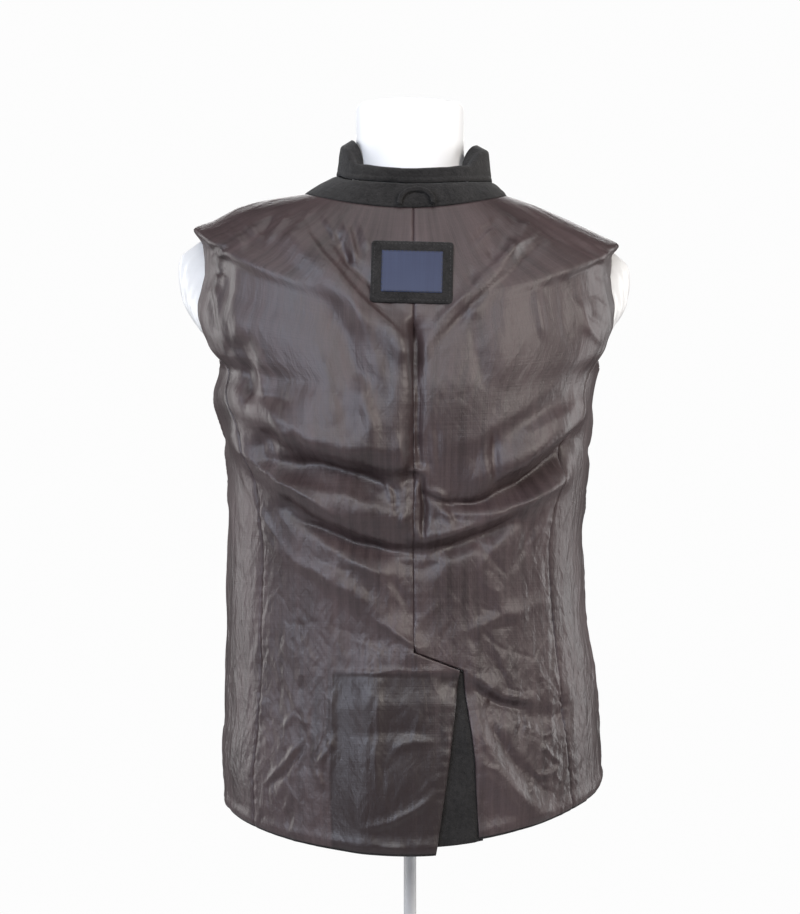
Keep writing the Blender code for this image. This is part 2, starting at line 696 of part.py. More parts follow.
def make_sleeve_head(name, side, reach_column, material):
    """The top of a sleeve: it comes from under the armhole's edge, bulges out and goes down inside."""
    runs = SLEEVE_HEADS[:, 0][:, None]
    opening = 90.0 - back_edge(np.maximum(runs, 99.0))
    across = np.linspace(-1, 1, 13)[None, :]
    offset = across * (opening + SLEEVE_BORDER_DEG)
    degrees = (90.0 + offset) * side
    runs = runs + 0 * degrees
    under = plain_ring_point(degrees, runs) - outward(degrees, runs) * SLEEVE_DEPTH
    reach = SLEEVE_HEADS[:, reach_column][:, None] - (ring_value("left" if side < 0 else "right", runs) - SLEEVE_DEPTH)
    round_over = np.clip(1 - (offset / np.maximum(opening - 2.5, 2.5)) ** 2, 0, 1)
    reach = np.where(reach > 0, reach * round_over ** 0.8, reach)
    grid = under + side * np.array([1.0, 0, 0]) * reach[..., None]
    if side < 0:
        grid = grid[:, ::-1]
    make_sheet(name, grid, SLEEVE_WALL, material)


def sleeve_ring(turn, z, side, widen=0.0):
    """A flattened ring of the sleeve between the form's side and the coat's side."""
    down = (SLEEVE_MOUTH_Z - z) / (SLEEVE_MOUTH_Z - SLEEVE_CUFF_Z)
    half = SLEEVE_HALF_DEG[0] + (SLEEVE_HALF_DEG[1] - SLEEVE_HALF_DEG[0]) * down
    rise = SLEEVE_MOUTH_RISE + (SLEEVE_CUFF_RISE - SLEEVE_MOUTH_RISE) * down
    degrees = 90.0 - half * np.sin(turn)
    z = z + rise * (1 - np.cos(turn)) / 2
    inner = form_point(degrees * side, z)
    outer = plain_ring_point(degrees * side, run_at(degrees * side, z))
    middle, half_share = (SLEEVE_NEAR + SLEEVE_FAR) / 2, (SLEEVE_FAR - SLEEVE_NEAR) / 2
    share = middle - half_share * np.sign(np.cos(turn)) * np.abs(np.cos(turn)) ** 0.85
    away = np.stack([-side * np.cos(turn), -np.sin(turn), 0 * turn], 1)
    return inner + (outer - inner) * share[:, None] + away * widen


def make_sleeve_tube(name, side, material):
    """The rest of a sleeve, a flattened tube that hangs inside the coat, open at both ends."""
    turn = np.linspace(0, 2 * math.pi, 16, endpoint=False)
    heights = np.linspace(SLEEVE_MOUTH_Z, SLEEVE_CUFF_Z, 11)
    inner = np.array([sleeve_ring(turn, z, side) for z in heights])
    outer = np.array([sleeve_ring(turn, z, side, SLEEVE_WALL) for z in heights])
    make_wall(name, (outer, inner), material, closed=True, flip=side < 0)


def make_sleeves(sleeve_lining):
    make_sleeve_head("sleeve_head_left", -1, 1, sleeve_lining)
    make_sleeve_head("sleeve_head_right", 1, 2, sleeve_lining)
    make_sleeve_tube("sleeve_left", -1, sleeve_lining)
    make_sleeve_tube("sleeve_right", 1, sleeve_lining)


def main():
    for old in list(bpy.data.objects):
        bpy.data.objects.remove(old, do_unlink=True)
    lining = make_material("taupe_lining", (0.085, 0.07, 0.068), 0.38)
    wool = make_material("charcoal_wool", (0.022, 0.021, 0.021), 0.92)
    sleeve_lining = make_material("white_sleeve_lining", (0.85, 0.84, 0.83), 0.42)
    label_blue = make_material("blue_label", (0.045, 0.065, 0.17), 0.55)
    form_white = make_material("white_form", (0.86, 0.86, 0.86), 0.5)
    steel = make_material("bright_steel", (0.75, 0.75, 0.76), 0.22, 1.0)
    make_backs(lining)
    make_vent_underlap(wool)
    make_sides(lining)
    make_fronts(lining, wool)
    make_sleeves(sleeve_lining)
    make_collar_stand(wool)
    make_collar_fall(wool)
    make_hanger_loop(wool)
    make_patch("label_patch", PATCH_WIDTH, PATCH_HEIGHT, PATCH_THICKNESS, 0.9, 8, 6, wool)
    under = 0.9 + PATCH_THICKNESS + SEAM_GAP
    make_patch("woven_label", LABEL_WIDTH, LABEL_HEIGHT, LABEL_THICKNESS, under, 6, 4, label_blue)
    make_form(form_white)
    make_stand(steel)


main()
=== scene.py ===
"""The looks of a short coat, worn inside out on a limbless dress form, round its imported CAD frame.

Sizes are in millimetres as in the part's source, and MM turns them into Blender's metres.
The coat's back is towards -Y. Left and right are those of someone who looks at the back.
"""

import math

import bpy
import numpy as np
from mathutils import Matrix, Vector


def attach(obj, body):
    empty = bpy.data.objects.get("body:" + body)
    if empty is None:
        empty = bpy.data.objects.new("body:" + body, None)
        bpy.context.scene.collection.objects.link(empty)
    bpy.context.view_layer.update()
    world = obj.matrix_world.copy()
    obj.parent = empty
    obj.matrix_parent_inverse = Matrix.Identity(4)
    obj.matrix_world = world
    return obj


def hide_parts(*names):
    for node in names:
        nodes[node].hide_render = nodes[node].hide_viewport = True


MM = 0.001

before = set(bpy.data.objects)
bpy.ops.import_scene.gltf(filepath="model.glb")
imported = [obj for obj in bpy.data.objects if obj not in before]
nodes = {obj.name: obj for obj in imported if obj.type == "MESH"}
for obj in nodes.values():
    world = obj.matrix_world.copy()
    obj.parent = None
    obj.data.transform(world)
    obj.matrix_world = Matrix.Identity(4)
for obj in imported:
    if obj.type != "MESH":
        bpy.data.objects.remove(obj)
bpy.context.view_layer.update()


# The coat's body, from the neck seam to the hem. The real one is wool outside and satin inside, and it is
# worn inside out, so the satin shows. Rings give its shape: run is measured down the centre back.
BACK_LENGTH = 648.0
RIGHT_HEM_LIFT = 10.0
RIGHT_LENGTH = BACK_LENGTH - RIGHT_HEM_LIFT
CLOTH_WALL = 2.4
RING_CORNER = 0.04
AWAY_STEP_DEG, AWAY_STEP_RUN = 1.0, 3.0
RING_COLUMNS = ("run", "left", "right", "back", "front", "z_left", "z_right", "z_back", "z_front")
RINGS = np.array([
    (0, 111, 102, 86, 84, 1405, 1403, 1383, 1345),
    (31, 139, 129, 102, 98, 1401, 1394, 1352, 1316),
    (65, 178, 164, 115, 108, 1392, 1379, 1318, 1286),
    (84, 205, 198, 121, 113, 1378, 1363, 1299, 1270),
    (97, 227, 219, 124, 116, 1368, 1351, 1286, 1258),
    (108, 217, 212, 126, 118, 1350, 1340, 1275, 1248),
    (121, 218, 213, 129, 121, 1326, 1320, 1262, 1236),
    (143, 229, 220, 133, 124, 1283, 1280, 1240, 1218),
    (167, 218, 212, 137, 127, 1244, 1243, 1216, 1202),
    (186, 200, 198, 140, 128, 1221, 1220, 1197, 1188),
    (205, 206, 192, 141, 128, 1196, 1194, 1178, 1172),
    (233, 195, 188, 140, 127, 1158, 1156, 1150, 1148),
    (283, 190, 184, 131, 124, 1100, 1100, 1100, 1100),
    (343, 190, 180, 124, 120, 1040, 1040, 1040, 1040),
    (403, 192, 183, 120, 118, 980, 980, 980, 980),
    (463, 192, 191, 124, 120, 920, 920, 920, 920),
    (523, 193, 196, 131, 125, 871, 878, 860, 873),
    (583, 197, 199, 137, 130, 821, 836, 800, 826),
    (648, 192, 201, 139, 133, 768, 783, 735, 775),
], float)


def smooth_step(value):
    """0 below 0, 1 above 1, and a smooth rise between."""
    value = np.clip(value, 0.0, 1.0)
    return value * value * (3.0 - 2.0 * value)


def smooth_column(at, places, values):
    """A smooth curve through a table's column that never overshoots its rows."""
    at = np.asarray(at, float)
    steps = np.diff(places)
    slopes = np.diff(values) / steps
    tangents = np.zeros(len(places))
    same_way = slopes[:-1] * slopes[1:] > 0
    weight_a, weight_b = 2 * steps[1:] + steps[:-1], steps[1:] + 2 * steps[:-1]
    safe = np.where(same_way, slopes[:-1] * slopes[1:], 1.0)
    inner = (weight_a + weight_b) * safe / (weight_a * slopes[1:] + weight_b * slopes[:-1] + 1e-12)
    tangents[1:-1] = np.where(same_way, inner, 0.0)
    tangents[0], tangents[-1] = slopes[0], slopes[-1]
    index = np.clip(np.searchsorted(places, at, side="right") - 1, 0, len(places) - 2)
    step = steps[index]
    t = np.clip((at - places[index]) / step, 0.0, 1.0)
    return (
        values[index] * (1 + 2 * t) * (1 - t) ** 2
        + tangents[index] * step * t * (1 - t) ** 2
        + values[index + 1] * t * t * (3 - 2 * t)
        + tangents[index + 1] * step * t * t * (t - 1)
    )


def ring_value(name, run):
    return smooth_column(run, RINGS[:, 0], RINGS[:, RING_COLUMNS.index(name)])


def plain_ring_point(degrees, run):
    """A point of the coat's outside without its folds. 0 degrees is the centre back, 90 the right side."""
    angle = np.radians(np.asarray(degrees, float))
    run = np.asarray(run, float)
    sine, cosine = np.sin(angle), np.cos(angle)
    half = np.where(sine > 0, ring_value("right", run), ring_value("left", run))
    side_z = np.where(sine > 0, ring_value("z_right", run), ring_value("z_left", run))
    behind = cosine > 0
    depth = np.where(behind, ring_value("back", run), ring_value("front", run))
    middle_z = np.where(behind, ring_value("z_back", run), ring_value("z_front", run))
    swell = 1 + RING_CORNER * np.sin(2 * angle) ** 2
    return np.stack([
        half * sine * swell,
        -depth * cosine * swell,
        side_z + (middle_z - side_z) * cosine ** 2,
    ], axis=-1)


def outward(degrees, run):
    """The plain surface's direction away from the body."""
    around = plain_ring_point(degrees + AWAY_STEP_DEG, run) - plain_ring_point(degrees - AWAY_STEP_DEG, run)
    low = np.clip(run - AWAY_STEP_RUN, 0.0, BACK_LENGTH)
    high = np.clip(run + AWAY_STEP_RUN, 0.0, BACK_LENGTH)
    down = plain_ring_point(degrees, high) - plain_ring_point(degrees, low)
    normal = np.cross(down, around)
    return normal / np.linalg.norm(normal, axis=-1, keepdims=True)


# The folds of the satin and wool. The large ones are the solids' own; the creases on them are thinner,
# with one steep side, and the crinkle is the fine unevenness that satin keeps after wear.
BACK_FOLDS = np.array([
    # x0, z0, x1, z1, bow, width, height
    (-118, 1352, -8, 1236, -7, 12, 5.0),
    (116, 1362, 62, 1278, 3, 8, 4.5),
    (-14, 1256, -8, 1130, 0, 15, 5.0),
    (6, 1258, 2, 1110, 0, 9, -6.0),
    (-160, 1185, -20, 1118, -16, 22, 8.0),
    (-140, 1150, -6, 1108, -10, 10, -7.0),
    (-178, 1150, -10, 1070, -22, 13, 8.0),
    (-122, 1082, 2, 1037, -10, 10, -7.0),
    (170, 1180, 70, 1108, 2, 16, 8.0),
    (166, 1150, 92, 1096, 5, 11, -7.0),
    (150, 1108, 10, 1050, 12, 12, 6.0),
    (106, 1068, 14, 1034, 4, 9, -6.0),
    (-78, 1010, 2, 938, 4, 13, 5.0),
    (40, 905, 150, 868, -8, 12, -5.0),
    (62, 850, 128, 776, -12, 12, 5.0),
    (-40, 905, -50, 745, 0, 14, 3.0),
    (-172, 1240, -160, 1190, 4, 10, -5.0),
], float)
FRONT_FOLDS = np.array([
    # x0, z0, x1, z1, bow, width, height
    (-150, 1180, -82, 1110, -12, 16, 6.0),
    (-165, 1120, -80, 1055, -12, 13, -5.0),
    (150, 1175, 84, 1115, -12, 16, 6.0),
    (165, 1125, 82, 1065, -12, 13, -5.0),
    (-120, 1330, -100, 1220, 6, 14, 4.0),
    (120, 1330, 100, 1220, -6, 14, 4.0),
    (-110, 1000, -125, 800, 0, 18, 5.0),
    (115, 1000, 130, 810, 0, 18, 5.0),
], float)
BACK_CREASES = np.array([
    # x0, z0, x1, z1, bow, width below, width above, height
    # drag folds from the neck to the centre pleat
    (-110, 1368, 0, 1241, -7, 11, 3.4, 5.2),
    (-96, 1374, -16, 1280, -5, 4, 9, -4.2),
    (137, 1364, 22, 1256, -4, 6, 3.0, 4.4),
    (141, 1354, 30, 1248, -4, 3.0, 6, -3.8),
    (126, 1338, 8, 1232, -6, 7, 4, 2.6),
    (96, 1380, 60, 1338, -2, 3, 4, -2.4),
    # centre pleat
    (3, 1268, 6, 1205, 0, 2.6, 4, -8.0),
    (6, 1215, 8, 1125, 0, 2.4, 3.4, -4.0),
    (-6, 1258, 2, 1165, 2, 10, 4, 3.4),
    (14, 1264, 12, 1222, 0, 4, 5, 2.2),
    # broad shine left of the pleat
    (-62, 1292, -26, 1196, 4, 13, 8, 5.0),
    (-84, 1290, -50, 1196, 4, 12, 12, -3.0),
    (-54, 1210, -34, 1140, 3, 10, 6, 4.0),
    (-76, 1200, -60, 1150, 2, 8, 9, -2.4),
    (-92, 1240, -70, 1160, 3, 12, 9, 2.0),
    # left shoulder
    (-122, 1381, -148, 1345, 2, 4, 5, 3.4),
    (-168, 1371, -150, 1350, 0, 4, 4, 2.8),
    (-186, 1366, -170, 1338, 2, 4, 4, 2.6),
    (-140, 1378, -160, 1352, 2, 4, 4, -3.0),
    (-100, 1386, -118, 1362, 1, 4, 5, 1.5),
    (-70, 1373, -52, 1318, 2, 3, 3.4, 2.6),
    (-58, 1377, -47, 1330, -2, 2.6, 3, -2.2),
    (-79, 1361, -60, 1316, 2, 3, 4, -2.4),
    (-50, 1366, -44, 1338, 1, 2.6, 3, 1.8),
    (-88, 1376, -76, 1342, 1, 3.4, 4, 2.2),
    (-66, 1352, -84, 1338, 1, 2.6, 3, 1.8),
    (-60, 1338, -74, 1322, 1, 2.6, 3, -1.8),
    # left armhole and armpit
    (-208, 1342, -184, 1343, 0, 2.5, 3, -4.2),
    (-212, 1331, -186, 1336, 1, 3, 4, 3.4),
    (-206, 1321, -188, 1317, 0, 3, 3, -3.4),
    (-213, 1300, -194, 1296, 1, 6, 8, 2.6),
    (-187, 1341, -196, 1312, -2, 2.6, 4, -1.8),
    (-192, 1334, -186, 1286, 4, 4, 7, -1.4),
    (-187, 1272, -188, 1226, 4, 4, 7, -1.3),
    (-179, 1332, -175, 1232, 0, 7, 10, 2.2),
    (-198, 1328, -196, 1270, 0, 4, 4, 1.8),
    (-204, 1300, -198, 1250, 0, 4, 4, -1.8),
    (-170, 1224, -163, 1184, 1, 3, 5, -4.0),
    (-158, 1232, -148, 1186, 2, 6, 6, 2.6),
    (-178, 1206, -112, 1186, -4, 10, 8, -4.0),
    (-150, 1190, -112, 1140, 4, 12, 9, 4.6),
    (-154, 1151, -140, 1118, -2, 6, 6, -4.6),
    (-128, 1166, -104, 1136, 2, 5, 5, -2.2),
    # upper swag: the bag of cloth, the dark fall under it, and the light ridge below
    (-140, 1164, -6, 1140, -7, 14, 44, 11.8),
    (-150, 1127, -8, 1096, 5, 12, 9, -11.5),
    (-138, 1110, -14, 1078, 0, 14, 7, 6.0),
    (-152, 1160, -136, 1128, 2, 6, 8, -3.4),
    (-128, 1152, -112, 1128, 2, 4, 4, 2.0),
    (-112, 1158, -104, 1132, 1, 3, 4, -1.6),
    # the knot on the pleat, with its cleft and the facets beside it
    (-2, 1116, 14, 1112, 3, 3, 4, 4.0),
    (12, 1112, 14, 1046, 0, 2.6, 3.4, -7.0),
    (4, 1104, -14, 1060, -1, 4, 4, -2.2),
    (-4, 1100, -8, 1056, 0, 3, 4, 2.4),
    (-26, 1108, -18, 1082, 1, 2.4, 3, 2.2),
    (-18, 1104, -14, 1074, 1, 2.4, 2.4, -2.0),
    (17, 1098, 40, 1060, 5, 5, 6, 4.0),
    (22, 1100, 60, 1078, -3, 3, 4, 2.4),
    (26, 1086, 48, 1062, 4, 3, 3, -2.0),
    (16, 1160, 20, 1108, -1, 3, 4, -3.0),
    (24, 1166, 28, 1120, 1, 3, 3, -2.2),
    (-12, 1150, -6, 1112, 2, 4, 4, 2.4),
    # right swag: the wedge, the trough in the bag and the bag's lower edge
    (80, 1106, 176, 1175, 0, 7, 18, 8.6),
    (90, 1096, 168, 1150, -8, 9, 5, -9.0),
    (8, 1152, 10, 1112, 0, 5, 6, -5.0),
    (83, 1158, 80, 1100, 2, 5, 3, -4.6),
    (74, 1150, 72, 1104, 0, 4, 5, 2.2),
    (12, 1093, 98, 1097, -11, 6, 5, -8.6),
    (28, 1076, 150, 1108, -12, 8, 6, 6.0),
    (10, 1046, 104, 1082, -4, 4, 12, 4.0),
    (16, 1036, 106, 1070, -4, 12, 4, -6.8),
    (104, 1082, 168, 1120, -3, 7, 10, 3.2),
    # lower swag on the left: a sharp lens, with the dark fold line that runs on to the pleat
    (-176, 1142, -60, 1067, -2, 2.6, 5, 3.0),
    (-126, 1093, 6, 1040, -9, 3.4, 13, 6.6),
    (-128, 1076, 8, 1032, -9, 12, 4, -7.0),
    (-176, 1136, -126, 1036, -6, 3, 5, 2.4),
    (-110, 1062, -10, 1008, -6, 7, 8, 3.0),
    (-132, 1040, -40, 986, -4, 6, 8, 2.4),
    (-20, 1026, 34, 1026, -6, 12, 8, -5.0),
    (-160, 1080, -120, 1018, -4, 6, 7, 2.2),
    (150, 1098, 118, 1036, 2, 5, 6, 2.4),
    (130, 1075, 96, 1012, 3, 5, 6, -2.2),
    (120, 1090, 60, 1012, 4, 6, 7, 2.0),
    (60, 1050, 96, 1010, 2, 5, 5, -1.8),
    # right half, from the armhole to the pleat
    (186, 1242, 30, 1130, 8, 14, 10, 3.0),
    (168, 1190, 104, 1150, 3, 6, 6, 2.4),
    (124, 1302, 134, 1244, 0, 5, 6, 2.6),
    (170, 1292, 182, 1252, 0, 5, 5, 2.6),
    (150, 1322, 160, 1238, 0, 8, 8, -2.2),
    (100, 1312, 92, 1200, -4, 17, 17, 3.0),
    (62, 1262, 76, 1196, -2, 7, 8, -1.8),
    (180, 1277, 201, 1262, 0, 3, 3, -2.4),
    (184, 1291, 202, 1281, 0, 3, 3, 2.0),
    (176, 1262, 196, 1246, 0, 3, 4, 2.0),
    (186, 1345, 212, 1341, 0, 2.5, 3, -3.8),
    (190, 1331, 214, 1334, 0, 3, 4, 2.8),
    (188, 1318, 208, 1316, 0, 3, 3, -2.6),
    (60, 1338, 86, 1362, 0, 3, 3, 1.8),
    (80, 1344, 85, 1316, 0, 3, 3, -2.0),
    (62, 1320, 55, 1290, 1, 4, 4, -1.6),
    (110, 1366, 150, 1344, 2, 5, 5, 1.6),
    (160, 1352, 190, 1330, 2, 5, 5, -1.8),
    (96, 1352, 108, 1326, 1, 4, 4, 1.6),
    # below the swags
    (-40, 969, 12, 934, 2, 4, 6, 2.4),
    (-60, 1030, -6, 975, 6, 12, 10, 3.0),
    (-20, 1008, 2, 960, 3, 5, 6, -2.0),
    (-18, 955, 4, 940, 0, 2.6, 3, 2.0),
    (44, 948, 140, 984, 4, 8, 8, 2.4),
    (70, 1020, 112, 962, -3, 9, 9, 1.8),
    (56, 914, 128, 880, -4, 4, 7, 3.4),
    (58, 904, 118, 876, -4, 5, 5, -3.4),
    (64, 880, 124, 778, -10, 5, 8, 3.0),
    (73, 880, 141, 790, -8, 6, 8, -3.0),
    # a curled crease low on the right
    (142, 889, 145, 858, 1, 2.6, 3, 1.9),
    (145, 858, 131, 847, 0, 2.6, 3, 1.9),
    (131, 847, 153, 821, -2, 2.6, 3, 1.9),
    (153, 821, 127, 810, 2, 2.6, 3, 1.9),
    (127, 810, 116, 794, 1, 2.6, 3, 1.5),
    # crumpled satin low on the left
    (-112, 846, -147, 801, 2, 3, 3, 2.6),
    (-106, 843, -141, 799, 2, 3, 3, -2.6),
    (-148, 890, -153, 860, 1, 3, 3, 2.0),
    (-75, 854, -94, 820, 1, 3, 4, 2.2),
    (-94, 820, -88, 798, 1, 3, 3, 2.0),
    (-116, 876, -128, 858, 1, 3, 3, 1.8),
    (-132, 905, -136, 868, 1, 4, 4, -1.8),
    (-96, 880, -106, 850, 1, 3, 3, -1.6),
    (-120, 800, -128, 772, 1, 3, 4, 1.6),
    (-104, 940, -112, 900, 1, 4, 5, 1.6),
    # the left flap of the vent, with the wool's edges pressed through it
    (-80, 878, 40, 884, 2, 14, 12, 1.4),
    (-75, 914, 46, 917, 0, 2, 3, 1.3),
    (-76, 913, -80, 812, 0, 2.5, 3, 1.1),
    (-60, 852, 26, 856, 3, 8, 8, -1.3),
    (-20, 838, 22, 847, 3, 5, 5, 1.6),
    (-48, 762, 28, 799, -8, 4, 5, 2.0),
    (-31, 744, -4, 742, 0, 2, 3, 1.2),
    (-31, 912, -36, 800, 1, 3, 4, 1.6),
    (8, 880, 2, 842, 1, 3, 3, 1.2),
], float)
SIDE_CREASES = np.array([
    # the same columns, but on a side x is the way round from its middle, towards the front
    (-30, 1190, 10, 1130, 3, 6, 6, 3.0),
    (26, 1185, -6, 1120, -3, 6, 6, -2.6),
    (-34, 1140, 22, 1092, 4, 6, 5, 2.8),
    (34, 1110, -14, 1070, -3, 5, 6, 2.4),
    (-20, 1060, -14, 960, 2, 6, 6, 1.8),
    (14, 1040, 20, 930, -2, 6, 6, -1.8),
    (-8, 940, -16, 850, 2, 5, 6, 1.8),
    (26, 900, 16, 820, 2, 5, 5, 1.6),
    (-34, 880, -28, 800, 1, 4, 5, -1.6),
    (2, 850, 8, 790, 1, 4, 4, 1.6),
], float)
FRONT_CREASES = np.array([
    # x0, z0, x1, z1, bow, width below, width above, height
    (-176, 1196, -96, 1120, -8, 5, 9, 3.4),
    (-160, 1160, -70, 1098, -8, 8, 5, -3.0),
    (-172, 1100, -84, 1040, -8, 5, 8, 2.8),
    (-184, 1226, -150, 1190, 2, 4, 5, -2.4),
    (-140, 1352, -118, 1262, 4, 7, 7, 2.6),
    (-108, 1330, -92, 1240, 2, 5, 6, -1.8),
    (-150, 1320, -160, 1250, 2, 6, 6, 2.0),
    (-92, 1000, -104, 880, 2, 5, 6, 2.0),
    (-130, 980, -138, 880, 2, 5, 6, -1.8),
    (-84, 880, -98, 806, 1, 4, 5, 1.8),
    (-118, 868, -134, 810, 1, 4, 4, 1.8),
    (-100, 1070, -78, 1010, 1, 6, 6, 1.6),
    (174, 1190, 92, 1116, 8, 9, 5, 3.2),
    (158, 1150, 74, 1092, 8, 5, 8, -2.8),
    (170, 1092, 86, 1030, 8, 8, 5, 2.6),
    (182, 1232, 150, 1196, 2, 4, 5, 2.2),
    (136, 1348, 120, 1256, -4, 7, 7, 2.4),
    (104, 1322, 90, 1246, -2, 5, 6, -1.8),
    (152, 1312, 158, 1246, 2, 6, 6, 1.8),
    (96, 1002, 108, 884, 2, 5, 6, 1.9),
    (134, 990, 128, 890, 2, 5, 6, -1.8),
    (88, 884, 96, 812, 1, 4, 5, 1.8),
    (120, 876, 140, 822, 1, 4, 4, 1.6),
    (76, 1072, 104, 1006, 1, 6, 6, -1.6),
], float)
LINE_STEP = 1.5
CREASE_PAST_END, CREASE_FADE = 0.08, 0.4  # as shares of a crease's length


def near_line(x, z, ends, reach):
    """Which points lie within reach of the box round a line's two ends."""
    x0, z0, x1, z1 = ends
    near = (x > min(x0, x1) - reach) & (x < max(x0, x1) + reach)
    return near & (z > min(z0, z1) - reach) & (z < max(z0, z1) + reach)


def fold_height(x, z, folds):
    """How far the large folds lift the cloth: soft ridges and troughs along bowed lines."""
    lifted = np.zeros(x.shape)
    for x0, z0, x1, z1, bow, width, height in folds:
        length = math.hypot(x1 - x0, z1 - z0)
        t = np.linspace(0, 1, int(length / LINE_STEP))
        bulge = 4 * t * (1 - t) * bow / length
        line_x, line_z = x0 + (x1 - x0) * t - (z1 - z0) * bulge, z0 + (z1 - z0) * t + (x1 - x0) * bulge
        near = near_line(x, z, (x0, z0, x1, z1), 3 * width + abs(bow))
        gaps = np.hypot(x[near][:, None] - line_x, z[near][:, None] - line_z).min(-1)
        lifted[near] += height * np.exp(-((gaps / width) ** 2))
    return lifted


def crease_height(x, z, creases):
    """How far the thin creases lift the cloth. Each one fades at both ends and may be steep on one side."""
    lifted = np.zeros(x.shape)
    for x0, z0, x1, z1, bow, below, above, height in creases:
        length = math.hypot(x1 - x0, z1 - z0)
        along_x, along_z = (x1 - x0) / length, (z1 - z0) / length
        near = near_line(x, z, (x0, z0, x1, z1), 3 * max(below, above) + abs(bow) + 0.1 * length)
        near_x, near_z = x[near] - x0, z[near] - z0
        t = (near_x * along_x + near_z * along_z) / length
        gap = near_z * along_x - near_x * along_z - 4 * t * (1 - t) * bow
        fade = smooth_step((t + CREASE_PAST_END) / CREASE_FADE)
        fade = fade * smooth_step((1 + CREASE_PAST_END - t) / CREASE_FADE)
        width = np.where(gap < 0, below, above) * (0.6 + 0.4 * fade)
        lifted[near] += height * fade * np.exp(-np.abs(gap / width) ** 1.7)
    return lifted


NOISE_LATTICE = 97


def cloth_noise(across, down, seed):
    """Smooth seeded noise, about -1 to 1, from a lattice of directions one unit apart."""
    turns = np.random.default_rng(seed).uniform(0, 2 * math.pi, (NOISE_LATTICE, NOISE_LATTICE))
    column, row = np.floor(across).astype(int), np.floor(down).astype(int)
    share_across, share_down = across - column, down - row
    ease_across = share_across ** 3 * (share_across * (share_across * 6 - 15) + 10)
    ease_down = share_down ** 3 * (share_down * (share_down * 6 - 15) + 10)
    total = 0.0
    for step_row, weight_row in ((0, 1 - ease_down), (1, ease_down)):
        for step_column, weight_column in ((0, 1 - ease_across), (1, ease_across)):
            turn = turns[(row + step_row) % NOISE_LATTICE, (column + step_column) % NOISE_LATTICE]
            slope = np.cos(turn) * (share_across - step_column) + np.sin(turn) * (share_down - step_row)
            total = total + slope * weight_row * weight_column
    return total * 1.5


WAVES = (
    # lean from upright in degrees, spacing across and along the waves, height, seed
    (8, 24, 100, 1.7, 11),
    (-32, 17, 74, 1.0, 12),
    (36, 15, 66, 0.9, 13),
    (6, 9, 44, 0.55, 14),
)
SCATTERED_CREASES = (
    # from run, to run, half way round, lean from upright, its spread, count, longest, height
    (8, 90, 300, 20, 50, 60, 34, 0.9),
    (90, 250, 600, -10, 60, 90, 52, 0.8),
    (110, 240, 270, 35, 40, 60, 50, 1.2),
    (250, 420, 600, 70, 45, 130, 60, 1.1),
    (400, 648, 600, 6, 38, 330, 52, 1.3),
    (430, 600, 180, -40, 40, 50, 46, 1.2),
)
SCATTER_SEED = 5


def scattered_rows():
    """Short creases placed by a seeded draw, as rows of a crease table on the cut's own places."""
    draw = np.random.default_rng(SCATTER_SEED)
    rows = []
    for from_run, to_run, half_round, lean, spread, count, longest, height in SCATTERED_CREASES:
        for _ in range(count):
            x, run = draw.uniform(-half_round, half_round), draw.uniform(from_run, to_run)
            angle = math.radians(draw.normal(lean if draw.random() < 0.6 else -lean, spread * 0.5))
            length = draw.uniform(0.3, 1.0) * longest
            half_x, half_run = math.sin(angle) * length / 2, math.cos(angle) * length / 2
            below, above = draw.uniform(1.8, 3.6, 2)
            rise = height * draw.uniform(0.4, 1.0) * draw.choice([-1, 1])
            bow = draw.normal(0, 0.07) * length
            rows.append((x - half_x, run - half_run, x + half_x, run + half_run, bow, below, above, rise))
    return rows


def drift(around, run, seed):
    """How far a slow and a quick noise move the places of waves and creases."""
    return 9 * cloth_noise(around / 60, run / 60, seed) + 2.5 * cloth_noise(around / 18, run / 18, seed + 1)


def crinkle_height(around, run):
    """The satin's fine unevenness: soft waves that come and go, and short thin creases."""
    bend_x, bend_y = drift(around, run, 21), drift(around, run, 23)
    lifted = np.zeros(around.shape)
    for lean, across, along, height, seed in WAVES:
        angle = math.radians(lean)
        side = (around + bend_x) * math.cos(angle) + (run + bend_y) * math.sin(angle)
        length = (run + bend_y) * math.cos(angle) - (around + bend_x) * math.sin(angle)
        patches = smooth_step(0.5 + 1.3 * cloth_noise(around / 80, run / 80, seed + 40))
        lifted += height * patches * cloth_noise(side / across, length / along, seed)
    return lifted + crease_height(around + 0.35 * bend_x, run + 0.35 * bend_y, scattered_rows())


WAY_ROUND = 3.35  # millimetres of cloth for each degree
SIDE_WAY_ROUND = 2.6  # the same, for the places of the sides' creases
SIDE_SHIFT = 6.0  # the creases lie this far lower on the right side, and higher on the left one
FLAP_MIDDLE, FLAP_HALF_WIDTH, FLAP_TOP_RUN = -14, 66, 462
CREASE_WANDER, CREASE_WANDER_STEP = 2.2, 26


def crinkle_share(around, run):
    """Where the satin is crinkled most: low down, at the sides and under the arms."""
    low = smooth_step((run - 250) / 220)
    arms = np.exp(-(((np.abs(around) - 235) / 70) ** 2)) * np.exp(-(((run - 150) / 120) ** 2))
    neck = np.exp(-((run / 60) ** 2))
    across_flap = smooth_step((FLAP_HALF_WIDTH - np.abs(around - FLAP_MIDDLE)) / 8)
    on_flap = across_flap * smooth_step((run - FLAP_TOP_RUN) / 10)
    beside_seam = np.exp(-(((np.abs(around) - 205) / 45) ** 2))
    return (0.20 + 0.68 * low + 0.45 * arms + 0.25 * neck) * (1 - 0.6 * on_flap) * (1 - 0.3 * beside_seam)


